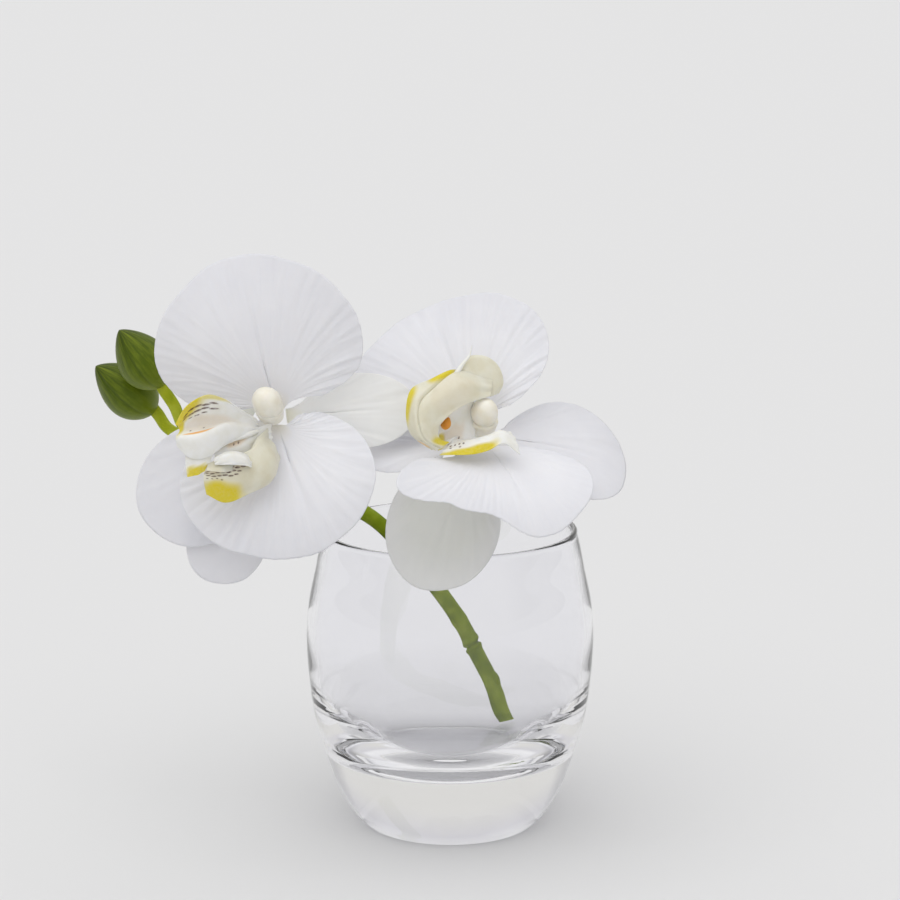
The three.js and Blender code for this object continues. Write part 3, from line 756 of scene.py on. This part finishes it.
right_lip = [
    lip_lobe("right_lip_hood", "right", RIGHT_HOOD, RIGHT_HOOD_PAINT, cream_lip, 150, 110, seed=5,
             fold=(-0.1, 0.62, 0.9, 0.04)),
    lip_lobe(
        "right_lip_lower_lobe", "right", RIGHT_LOWER_LOBE, RIGHT_LOWER_PAINT,
        white_lip, 130, 80, seed=6,
    ),
    lip_lobe("right_lip_back_lobe", "right", RIGHT_BACK_LOBE, {}, cream_lip, 60, 60, seed=7),
    lip_lobe(
        "right_lip_inner_cup", "right", RIGHT_INNER_CUP, RIGHT_CUP_PAINT,
        white_lip, 80, 70, seed=9,
    ),
]
print("right lip lobes:", [lobe.name for lobe in right_lip])

# %% [markdown]
# ## Stalks made by Geometry Nodes
# The stem and its side stalks are one thing: a round green rod that follows a line, thins
# towards its end and swells where a leaf scar rings it. A rule like that suits Geometry Nodes.
# One tree turns a line of points into such a rod, and its inputs hold the sizes.

# %% Stalk tree
def stalk_tree(material):
    tree = bpy.data.node_groups.new("grown_stalk_" + material.name, "GeometryNodeTree")
    face = tree.interface
    face.new_socket("Geometry", in_out="INPUT", socket_type="NodeSocketGeometry")
    for label in ("Radius", "Taper", "Scar Swell", "Wobble", "Seed"):
        face.new_socket(label, in_out="INPUT", socket_type="NodeSocketFloat")
    face.new_socket("Geometry", in_out="OUTPUT", socket_type="NodeSocketGeometry")
    given = add(tree, "NodeGroupInput")
    along = add(tree, "GeometryNodeSplineParameter").outputs["Factor"]
    scar = add(tree, "GeometryNodeInputNamedAttribute", {"Name": "scar"}, data_type="FLOAT").outputs[0]
    place = add(tree, "GeometryNodeInputPosition").outputs[0]
    noise = add(
        tree, "ShaderNodeTexNoise",
        {"Vector": place, "W": given.outputs["Seed"], "Scale": per_metre(7)}, noise_dimensions="4D",
    ).outputs["Fac"]
    lost = add(tree, "ShaderNodeMath", {0: given.outputs["Taper"], 1: along}, operation="MULTIPLY")
    taper = add(tree, "ShaderNodeMath", {0: 1.0, 1: lost.outputs[0]}, operation="SUBTRACT")
    plain = add(
        tree, "ShaderNodeMath", {0: given.outputs["Radius"], 1: taper.outputs[0]}, operation="MULTIPLY"
    )
    scarred = add(
        tree, "ShaderNodeMath", {0: given.outputs["Scar Swell"], 1: scar, 2: plain.outputs[0]},
        operation="MULTIPLY_ADD",
    )
    centred = add(tree, "ShaderNodeMath", {0: noise, 1: 0.5}, operation="SUBTRACT")
    uneven = add(
        tree, "ShaderNodeMath", {0: centred.outputs[0], 1: given.outputs["Wobble"]}, operation="MULTIPLY"
    )
    whole = add(tree, "ShaderNodeMath", {0: scarred.outputs[0], 1: uneven.outputs[0]}, operation="ADD")
    radius = whole.outputs[0]
    curve = add(tree, "GeometryNodeMeshToCurve", {"Mesh": given.outputs["Geometry"]})
    ring = add(tree, "GeometryNodeCurvePrimitiveCircle", {"Resolution": 28, "Radius": 1.0})
    sweep = add(
        tree, "GeometryNodeCurveToMesh",
        {"Curve": curve.outputs["Curve"], "Profile Curve": ring.outputs["Curve"], "Fill Caps": True},
    )
    if "Scale" in sweep.inputs:
        tree.links.new(radius, sweep.inputs["Scale"])
    else:
        sized = add(
            tree, "GeometryNodeSetCurveRadius", {"Curve": curve.outputs["Curve"], "Radius": radius}
        )
        tree.links.new(sized.outputs["Curve"], sweep.inputs["Curve"])
    soft = add(tree, "GeometryNodeSetShadeSmooth", {"Geometry": sweep.outputs["Mesh"]})
    real = add(tree, "GeometryNodeRealizeInstances", {"Geometry": soft.outputs["Geometry"]})
    dressed = add(
        tree, "GeometryNodeSetMaterial", {"Geometry": real.outputs["Geometry"], "Material": material}
    )
    add(tree, "NodeGroupOutput", {"Geometry": dressed.outputs["Geometry"]})
    return tree


def grow_stalk(name, node, route, tree, material, inputs, scars=(), steps=160, pale_end=0.0):
    """A line through the route becomes a rod by the tree, and then a plain mesh."""
    line = smooth_line(route, steps) * MM
    mesh = bpy.data.meshes.new(name + "_line")
    mesh.from_pydata([tuple(p) for p in line], [(i, i + 1) for i in range(steps - 1)], [])
    part = np.linspace(0, 1, steps)
    swell = np.zeros(steps)
    for place, wide, weight in scars:
        swell += weight * np.exp(-(((part - place) / wide) ** 2))
    mesh.attributes.new("scar", "FLOAT", "POINT").data.foreach_set("value", swell.astype(np.float32))
    paleness = pale_end * smoothstep(part, 0.36, 0.5)
    mesh.attributes.new("pale", "FLOAT", "POINT").data.foreach_set("value", paleness.astype(np.float32))
    carrier = bpy.data.objects.new(name + "_line", mesh)
    bpy.context.scene.collection.objects.link(carrier)
    modifier = carrier.modifiers.new("grow", "NODES")
    modifier.node_group = tree
    names = {i.name: i.identifier for i in tree.interface.items_tree if i.in_out == "INPUT"}
    for label, value in inputs.items():
        modifier[names[label]] = value
    shown = carrier.evaluated_get(bpy.context.evaluated_depsgraph_get())
    made = bpy.data.meshes.new_from_object(shown)
    piece = bpy.data.objects.new(name, made)
    made.name = name
    bpy.context.scene.collection.objects.link(piece)
    bpy.data.objects.remove(carrier)
    if not made.materials:
        made.materials.append(material)
    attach(piece, "root")
    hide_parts(node)
    return piece


# %% [markdown]
# Stem skin is a living green rind with a faint waxy bloom. It has fine fibres that run along it
# and small lighter flecks. The stem is olive green, and the young stalks are yellower.


# %% Stem materials
def green_rind(name, dark, middle, light, shine):
    made, tree = new_material(name)
    coordinates = add(tree, "ShaderNodeTexCoord").outputs["Object"]
    broad = add(
        tree, "ShaderNodeTexNoise", {"Vector": coordinates, "Scale": per_metre(6), "Detail": 4.0}
    )
    rind = add(
        tree, "ShaderNodeValToRGB", {"Fac": broad.outputs["Fac"]},
        stops=[(0.3, dark), (0.5, middle), (0.72, light)],
    )
    flecks = add(
        tree, "ShaderNodeTexNoise",
        {"Vector": coordinates, "Scale": per_metre(0.9), "Detail": 3.0, "Roughness": 0.7},
    )
    spots = add(
        tree, "ShaderNodeValToRGB", {"Fac": flecks.outputs["Fac"]},
        stops=[(0.56, "#000000"), (0.72, "#ffffff")],
    )
    faint = add(tree, "ShaderNodeMath", {0: spots.outputs["Color"], 1: 0.35}, operation="MULTIPLY")
    flecked = add(
        tree, "ShaderNodeMix", {0: faint.outputs[0], 6: rind.outputs["Color"], 7: linear(light)},
        data_type="RGBA",
    )
    pale = add(tree, "ShaderNodeAttribute", attribute_name="pale").outputs["Fac"]
    blanched = add(
        tree, "ShaderNodeMix", {0: pale, 6: flecked.outputs[2], 7: linear("#e9e8dd")}, data_type="RGBA"
    )
    bump = add(
        tree, "ShaderNodeBump",
        {"Height": flecks.outputs["Fac"], "Strength": 0.35, "Distance": 0.2 * MM},
    )
    surface = add(
        tree, "ShaderNodeBsdfPrincipled",
        {
            "Base Color": blanched.outputs[2],
            "Roughness": shine,
            "IOR": 1.4,
            "Specular IOR Level": 0.2,
            "Normal": bump.outputs["Normal"],
            "Subsurface Weight": 0.12,
            "Subsurface Radius": (0.7, 1.0, 0.3),
            "Subsurface Scale": 0.8 * MM,
        },
    )
    add(tree, "ShaderNodeOutputMaterial", {"Surface": surface.outputs["BSDF"]})
    return made


stem_rind = green_rind("olive_stem_rind", "#667806", "#7a8c10", "#93a22e", 0.5)
stalk_rind = green_rind("young_stalk_rind", "#8f9c14", "#a4ae20", "#b4bc3c", 0.5)

# %% Stem and stalks
# Routes are in millimetres and are the CAD model's own; each side stalk starts inside the stem.
STEM_ROUTE = [
    [18.6, 10.4, 24.1], [12.6, 14.2, 40], [6.6, 17, 51.5], [-2.8, 18, 66.5], [-20.5, 19, 88],
    [-27.6, 19.8, 93.2], [-34, 19.4, 96.2], [-50, 17.4, 104.4], [-68, 12.5, 113], [-81, 8.6, 119.6],
]
STALK_ROUTES = {
    "left_pedicel": [
        [-64.4, 13.6, 111.8], [-63.5, 10.6, 116.2], [-61.5, -4, 127], [-57.5, -22, 134.4],
        [-52.4, -35.4, 135.6], [-49.6, -38.7, 135.4],
    ],
    "right_pedicel": [
        [-13, 18.5, 79.2], [-11, 16.4, 84.5], [-8, 12, 101], [-2, -2, 119], [5, -22, 128.6],
        [8.8, -36.9, 129.2],
    ],
    "lower_bud_stalk": [
        [-80.4, 9.2, 118.8], [-83.8, 10.8, 119.6], [-87.4, 13, 121.4], [-90.2, 15, 125],
        [-91.6, 15.2, 126.6],
    ],
    "upper_bud_stalk": [
        [-79.8, 8, 119.6], [-82.2, 6.4, 124], [-83.8, 4.2, 129.4], [-86.6, 2.4, 134.6], [-87.5, 2.1, 136.5],
    ],
}
stem = grow_stalk(
    "flower_stem", "stem", STEM_ROUTE, stalk_tree(stem_rind), stem_rind,
    {"Radius": 2.55 * MM, "Taper": 0.1, "Scar Swell": 0.4 * MM, "Wobble": 0.5 * MM, "Seed": 2.0},
    scars=(
        (0.206, 0.006, 0.9), (0.214, 0.003, -1.3), (0.222, 0.006, 0.9), (0.27, 0.012, 0.6),
        (0.62, 0.012, 1.0), (0.9, 0.014, 1.0),
    ),
    steps=480,
)
young_tree = stalk_tree(stalk_rind)
stalks = [
    grow_stalk(
        f"{name}_rod", name, route, young_tree, stalk_rind,
        {
            "Radius": 1.7 * MM, "Taper": -0.12, "Scar Swell": 0.0, "Wobble": 0.3 * MM,
            "Seed": 5.0 + place,
        },
        pale_end=1.0 if name.endswith("pedicel") else 0.0,
    )
    for place, (name, route) in enumerate(STALK_ROUTES.items())
]
FLESHY_RODS = {
    "left_lip_ridge": (
        "left", [[-3.2, -7, -3.2], [-7, -14, -2.6], [-13.4, -21.6, -3.8], [-17, -24.4, -6.4]], 1.3, 0.8,
    ),
    "right_lip_tendril": (
        "right", [[-8.2, -11, 19.4], [-6, -9.2, 22.6], [-3.9, -8, 25.2], [-3.2, -7.6, 28]], 0.8, 0.88,
    ),
    "right_lip_throat": ("right", [[-5, -5.6, 0.8], [-7.4, -9.4, 1], [-10.4, -14.4, 0.4]], 0.7, 0.3),
}
flesh_tree = stalk_tree(white_lip)
rods = [
    grow_stalk(
        name, f"{flower}_lip", np.array(route) * FLOWER_SIZE + FLOWER_CENTRE[flower],
        flesh_tree, white_lip,
        {"Radius": radius * MM, "Taper": taper, "Scar Swell": 0.0, "Wobble": 0.3 * MM, "Seed": 3.0},
        steps=60,
    )
    for name, (flower, route, radius, taper) in FLESHY_RODS.items()
]
print("stem faces:", len(stem.data.polygons), "stalks:", [s.name for s in stalks])

# %% [markdown]
# ## Rounded pieces on an axis
# A column, an anther cap and a bud are each a fleshy round body on its own axis. The axis and
# the length are measured on the CAD solid, and a profile says how the radius runs along it.


# %% Axis bodies
def axis_frame(direction):
    sideways = np.cross([0.0, 0.0, 1.0], direction)
    sideways /= np.linalg.norm(sideways)
    return sideways, np.cross(direction, sideways)


def axis_body(name, start, end, radius_at, material, node, sides=96, rings=90, masks=None):
    """radius_at(part, angle) gives the radius in metres for 0..1 along the axis."""
    direction = (end - start) / np.linalg.norm(end - start)
    sideways, upward = axis_frame(direction)
    part = 0.5 - 0.5 * np.cos(np.linspace(0.0, np.pi, rings + 2)[1:-1])
    angle = np.linspace(0, 2 * np.pi, sides, endpoint=False)
    p, a = np.meshgrid(part, angle, indexing="ij")
    radius = radius_at(p, a)
    points = (
        start + (end - start) * p[..., None]
        + radius[..., None] * (np.cos(a)[..., None] * sideways + np.sin(a)[..., None] * upward)
    ).reshape(-1, 3)
    points = np.concatenate([points, [start, end]])
    faces = []
    for ring in range(rings - 1):
        for side in range(sides):
            turn = (side + 1) % sides
            low, high = ring * sides, (ring + 1) * sides
            faces.append([low + side, low + turn, high + turn, high + side])
    first, last, top = rings * sides, rings * sides + 1, (rings - 1) * sides
    for side in range(sides):
        turn = (side + 1) % sides
        faces.append([first, turn, side])
        faces.append([last, top + side, top + turn])
    values = {}
    for label, rule in (masks or {}).items():
        values[label] = np.concatenate([rule(p, a).ravel(), [rule(0.0, 0.0), rule(1.0, 0.0)]])
    piece = finish_mesh(name, points, faces, material, masks=values)
    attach(piece, "root")
    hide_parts(node)
    return piece


def measured_ends(node, towards):
    """The two ends of a CAD solid's long axis, the second one on the given side."""
    points = cad_points(node)
    middle = (points.min(axis=0) + points.max(axis=0)) / 2
    direction = towards / np.linalg.norm(towards)
    reach = (points - middle) @ direction
    return middle + direction * reach.min(), middle + direction * reach.max()


# %% [markdown]
# The column is the flower's joined stamen and stigma, and the anther cap is the knob on its end.
# Both are wax-like and cream white, and their base is also painted brighter, standing in for light that the
# right flower's hood keeps from its column. The callus is the small orange bump inside the lip.

# %% Columns, anther caps and callus
def column_radius(part, angle):
    rounded_ends = np.sqrt(np.clip(1 - np.abs(2 * part - 1) ** 9, 0.02, 1))
    return MM * (3.1 + 0.9 * part + 0.3 * np.cos(2 * angle)) * rounded_ends


def cap_radius(part, angle, size):
    dome = np.clip(1 - np.clip((part - 0.4) / 0.6, 0, 1) ** 2.3, 0.0004, 1) ** 0.5
    dome = dome * (0.78 + 0.22 * smoothstep(part, 0.0, 0.4)) * np.clip(part / 0.03, 0.02, 1) ** 0.5
    cleft = 1 - 0.10 * np.exp(-((np.abs(np.sin(angle / 2 + 0.8)) / 0.2) ** 2)) * part
    lobes = 1 + 0.05 * np.cos(2 * angle + 0.6) - 0.10 * (1 - part) ** 2
    return MM * size * 0.96 * dome * cleft * lobes


CAP_SINK = 0.3  # how far the cap reaches down over the column, as a part of its length
CAP_SIZE = {"left": 4.42, "right": 3.94}
for flower, size in CAP_SIZE.items():
    lean = box_centre(f"{flower}_anther_cap") - box_centre(f"{flower}_column")
    start, end = measured_ends(f"{flower}_column", lean)
    axis_body(
        f"{flower}_column_body", start, end, column_radius, cream_brightened_column_wax, f"{flower}_column",
    )
    start, end = measured_ends(f"{flower}_anther_cap", lean)
    start = start - (end - start) * CAP_SINK
    axis_body(
        f"{flower}_anther_cap_body", start, end, lambda p, a: cap_radius(p, a, size), cream_brightened_column_wax,
        f"{flower}_anther_cap",
    )
orange_callus = lip_tissue("orange_callus", "#e09a30", "#d08420")
callus = (np.array([-10.8, -14.6, 6.0]) * FLOWER_SIZE + FLOWER_CENTRE["right"]) * MM
callus_half = np.array([0.7, -0.6, 1.8]) * MM
axis_body(
    "right_lip_callus", callus - callus_half, callus + callus_half,
    lambda p, a: 1.5 * MM * np.sin(np.pi * p) ** 0.6 * (1.15 - 0.4 * p),
    orange_callus, "right_lip", sides=40, rings=30,
)
print("columns and caps done")

# %% [markdown]
# Two old buds left small nubs on the stem, one on each side.

# %% Nubs on the stem
# Each nub is (place along the stem, side it sits on, radius in millimetres).
STEM_LINE = smooth_line(STEM_ROUTE, 400)
NUBS = {"stem_nub_low": (0.118, 1.0, 1.6), "stem_nub_high": (0.272, -1.0, 1.3)}
for name, (place, turn, size) in NUBS.items():
    at = int(place * 400)
    grain = STEM_LINE[at + 6] - STEM_LINE[at - 6]
    grain = grain / np.linalg.norm(grain)
    middle = STEM_LINE[at] + np.array([1.7 * turn, -0.9, 0.0])
    axis_body(
        name, (middle - grain * 3.4) * MM, (middle + grain * 2.4) * MM,
        lambda p, a: cap_radius(p, a, size), stem_rind, "stem", sides=32, rings=24,
    )
print("nubs:", list(NUBS))

# %% [markdown]
# ## Buds
# A closed bud is wrapped in three thick sepals that meet in seams. It is widest below its
# middle and runs to a blunt point. Its skin is darker and smoother than the stalk's.


# %% Bud material and shape
def bud_skin(name):
    made, tree = new_material(name)
    coordinates = add(tree, "ShaderNodeTexCoord").outputs["Object"]
    along = add(tree, "ShaderNodeAttribute", attribute_name="along").outputs["Fac"]
    seam = add(tree, "ShaderNodeAttribute", attribute_name="seam").outputs["Fac"]
    turn_x = add(tree, "ShaderNodeAttribute", attribute_name="turn_x").outputs["Fac"]
    turn_y = add(tree, "ShaderNodeAttribute", attribute_name="turn_y").outputs["Fac"]
    slow = add(tree, "ShaderNodeMath", {0: along, 1: 0.45}, operation="MULTIPLY")
    stretched = add(
        tree, "ShaderNodeCombineXYZ",
        {"X": turn_x, "Y": turn_y, "Z": slow.outputs[0]},
    )
    streaks = add(
        tree, "ShaderNodeTexNoise",
        {"Vector": stretched.outputs["Vector"], "Scale": 6.0, "Detail": 5.0, "Roughness": 0.65},
    )
    base = add(
        tree, "ShaderNodeValToRGB", {"Fac": along},
        stops=[(0.0, "#78861a"), (0.35, "#55660c"), (0.8, "#43520a"), (1.0, "#2f3c0a")],
    )
    light_streaks = add(
        tree, "ShaderNodeValToRGB", {"Fac": streaks.outputs["Fac"]},
        stops=[(0.42, "#000000"), (0.68, "#ffffff")],
    )
    streaked = add(
        tree, "ShaderNodeMix",
        {0: light_streaks.outputs["Color"], 6: base.outputs["Color"], 7: linear("#6c7a1c")},
        data_type="RGBA",
    )
    soft_seam = add(tree, "ShaderNodeMath", {0: seam, 1: 0.35}, operation="MULTIPLY")
    seamed = add(
        tree, "ShaderNodeMix", {0: soft_seam.outputs[0], 6: streaked.outputs[2], 7: linear("#36440a")},
        data_type="RGBA",
    )
    fine = add(
        tree, "ShaderNodeTexNoise", {"Vector": coordinates, "Scale": per_metre(0.7), "Detail": 4.0}
    )
    rough = add(
        tree, "ShaderNodeMath", {0: fine.outputs["Fac"], 1: streaks.outputs["Fac"]}, operation="ADD"
    )
    bump = add(
        tree, "ShaderNodeBump",
        {"Height": rough.outputs[0], "Strength": 0.35, "Distance": 0.25 * MM},
    )
    surface = add(
        tree, "ShaderNodeBsdfPrincipled",
        {
            "Base Color": seamed.outputs[2],
            "Roughness": 0.4,
            "IOR": 1.4,
            "Specular IOR Level": 0.25,
            "Normal": bump.outputs["Normal"],
            "Subsurface Weight": 0.1,
            "Subsurface Radius": (0.7, 1.0, 0.3),
            "Subsurface Scale": 0.8 * MM,
        },
    )
    add(tree, "ShaderNodeOutputMaterial", {"Surface": surface.outputs["BSDF"]})
    return made


green_bud = bud_skin("bud_skin")
BUD_LEAN = {"lower_bud": np.array([-18.2, -2.4, 15.3]), "upper_bud": np.array([-12.9, -2.0, 18.2])}
BUD_WIDTH = {"lower_bud": 16.0, "upper_bud": 15.5}


def seam_at(angle):
    return np.exp(-((np.sin(1.5 * angle + 0.5) / 0.10) ** 2))


for name, lean in BUD_LEAN.items():
    start, end = measured_ends(name, lean)
    half = BUD_WIDTH[name] / 2 * MM

    def bud_radius(part, angle):
        egg = np.sin(np.pi * np.clip(part, 0.0005, 0.9995) ** 0.78) ** 0.72
        swell = 1 + 0.045 * np.cos(3 * angle)
        return half * egg * swell * (1 - 0.05 * seam_at(angle) * smoothstep(part, 0.1, 0.3))

    axis_body(
        f"{name}_body", start, end, bud_radius, green_bud, name,
        masks={
            "along": lambda p, a: p * 1.0,
            "seam": lambda p, a: seam_at(a) * np.ones_like(p),
            "turn_x": lambda p, a: np.cos(a) * np.ones_like(p),
            "turn_y": lambda p, a: np.sin(a) * np.ones_like(p),
        },
    )
print("buds done")

# %% [markdown]
# ## Vase
# The vase is blown and fire-polished soda glass: a rounded tumbler with a very thick clear
# base. It is a lathe shape, so its outside and inside are two profiles that are turned round
# the upright axis. Clear glass is all reflection and refraction, so it needs no colour
# pattern; shadow rays pass through it, which keeps its shadow as pale as real glass has it.


# %% Vase
OUTSIDE = [
    [0, 0.25], [12, 0.2], [22, 0.1], [25.6, 0.0], [26.9, 0.35], [27.8, 1.1], [29.9, 3.2], [31.8, 6],
    [34, 10], [35.7, 14], [37.1, 18], [38.4, 22], [39.6, 26], [41.8, 34], [43, 42], [43.9, 52],
    [44.1, 60], [43.3, 70], [41.2, 80], [39.9, 86.8], [38.9, 91.2],
]
INSIDE = [
    [37.1, 91.2], [37.95, 86.8], [39.1, 80], [40.9, 70], [41.7, 59], [41.1, 50], [40.2, 43], [38.2, 37.4],
    [35.4, 32.4], [31.6, 27.8], [27.4, 24.2], [22.6, 22.1], [16, 21.5], [8, 21.5], [0, 21.5],
]
VASE_SIDES = 240


def clear_glass():
    made, tree = new_material("clear_soda_glass")
    glass = add(
        tree, "ShaderNodeBsdfPrincipled",
        {
            "Base Color": linear("#fdfdff"),
            "Roughness": 0.0,
            "IOR": 1.5,
            "Transmission Weight": 1.0,
        },
    )
    ghost = add(tree, "ShaderNodeBsdfTransparent", {"Color": linear("#f4f4f6")})
    path = add(tree, "ShaderNodeLightPath")
    joined = add(
        tree, "ShaderNodeMixShader",
        {0: path.outputs["Is Shadow Ray"], 1: glass.outputs["BSDF"], 2: ghost.outputs["BSDF"]},
    )
    add(tree, "ShaderNodeOutputMaterial", {"Surface": joined.outputs["Shader"]})
    return made


def turn_vase():
    rim_middle = np.array([38.0, 91.95])
    rim_angles = np.linspace(-0.2, math.pi + 0.2, 15)
    rim = [rim_middle + 0.85 * np.array([math.cos(a), math.sin(a)]) for a in rim_angles]
    outer = smooth_line(np.array(OUTSIDE, dtype=float), 110)
    inner = smooth_line(np.array(INSIDE, dtype=float), 110)
    line = np.concatenate([outer[1:], np.array(rim), inner[:-1]]) * MM
    turns = np.linspace(0, 2 * np.pi, VASE_SIDES, endpoint=False)
    points = [[r * math.cos(a), r * math.sin(a), z] for r, z in line for a in turns]
    points += [[0, 0, OUTSIDE[0][1] * MM], [0, 0, INSIDE[-1][1] * MM]]
    faces = []
    for ring in range(len(line) - 1):
        for side in range(VASE_SIDES):
            turn = (side + 1) % VASE_SIDES
            low, high = ring * VASE_SIDES, (ring + 1) * VASE_SIDES
            faces.append([low + side, low + turn, high + turn, high + side])
    under, floor, last = len(points) - 2, len(points) - 1, (len(line) - 1) * VASE_SIDES
    for side in range(VASE_SIDES):
        turn = (side + 1) % VASE_SIDES
        faces.append([under, turn, side])
        faces.append([floor, last + side, last + turn])
    return finish_mesh("vase_glass", points, faces, clear_glass())


vase = turn_vase()
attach(vase, "root")
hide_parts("vase")
print("vase faces:", len(vase.data.polygons))

# %% [markdown]
# Each lobe of a lip stands in for the lip's one CAD solid, so both are tied together here.

# %% Dress the lips
for flower, lobes in (("left", left_lip), ("right", right_lip)):
    for lobe in lobes:
        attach(lobe, "root")
        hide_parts(f"{flower}_lip")

# %% [markdown]
# ## Studio
# The spray stands on a wide pale floor under soft light. A sun lamp with a very wide disc is
# the key light, because it falls evenly over the whole floor, and a sky that is bright above
# and in front and dimmer at the sides fills the shadows and draws the edges of the glass.


# %% Floor, light and camera
def build_floor():
    made, tree = new_material("matt_studio_floor")
    surface = add(
        tree, "ShaderNodeBsdfPrincipled",
        {"Base Color": linear("#dfdfdf"), "Roughness": 1.0, "Specular IOR Level": 0.0},
    )
    add(tree, "ShaderNodeOutputMaterial", {"Surface": surface.outputs["BSDF"]})
    reach = 60.0
    corners = [(-reach, -reach, 0), (reach, -reach, 0), (reach, reach, 0), (-reach, reach, 0)]
    floor = finish_mesh("studio_floor", corners, [[0, 1, 2, 3]], made, smooth=False)
    return floor


SKY_STRENGTH = 1.08


def build_sky():
    world = bpy.data.worlds.new("studio_sky")
    world.use_nodes = True
    tree = world.node_tree
    tree.nodes.clear()
    direction = add(tree, "ShaderNodeTexCoord").outputs["Generated"]
    parts = add(tree, "ShaderNodeSeparateXYZ", {"Vector": direction})
    upward = add(
        tree, "ShaderNodeValToRGB", {"Fac": parts.outputs["Z"]},
        stops=[(0.0, "#d4d3cf"), (0.15, "#d4d3cf"), (0.4, "#cbcacd"), (0.7, "#eaeaea"), (1.0, "#eaeaea")],
    )
    sideways = add(tree, "ShaderNodeMath", {0: parts.outputs["X"]}, operation="ABSOLUTE")
    wings = add(
        tree, "ShaderNodeValToRGB", {"Fac": sideways.outputs[0]},
        stops=[(0.0, "#ffffff"), (0.72, "#ffffff"), (0.92, "#bcbcc0"), (1.0, "#bcbcc0")],
    )
    dimmed = add(
        tree, "ShaderNodeMix", {0: 1.0, 6: upward.outputs["Color"], 7: wings.outputs["Color"]},
        data_type="RGBA", blend_type="MULTIPLY",
    )
    glow = add(
        tree, "ShaderNodeBackground", {"Color": dimmed.outputs[2], "Strength": SKY_STRENGTH}
    )
    add(tree, "ShaderNodeOutputWorld", {"Surface": glow.outputs["Background"]})
    bpy.context.scene.world = world


def build_sun(name, strength, disc, turn):
    lamp = bpy.data.lights.new(name, "SUN")
    lamp.energy = strength
    lamp.angle = math.radians(disc)
    holder = bpy.data.objects.new(name, lamp)
    holder.rotation_euler = [math.radians(a) for a in turn]
    # The lamp lights everything but leaves no glints of its own disc in the glass.
    holder.visible_transmission = False
    holder.visible_glossy = False
    bpy.context.scene.collection.objects.link(holder)
    return holder


build_floor()
build_sky()
build_sun("key_light", 1.0, 60, (30, -12, 0))

camera_data = bpy.data.cameras.new("camera")
camera_data.sensor_width = 36.0
camera_data.lens = 101.0
camera_data.clip_end = 200.0
camera = bpy.data.objects.new("camera", camera_data)
camera.location = (0.0, -0.752, 0.267)
camera.rotation_euler = (math.radians(78.7), 0.0, 0.0)
bpy.context.scene.collection.objects.link(camera)
bpy.context.scene.camera = camera
bpy.context.scene.view_settings.view_transform = "Standard"
bounces = bpy.context.scene.cycles
bounces.max_bounces = 24
bounces.transmission_bounces = 20
bounces.glossy_bounces = 16
bounces.transparent_max_bounces = 24
print("camera at", tuple(round(c, 3) for c in camera.location))
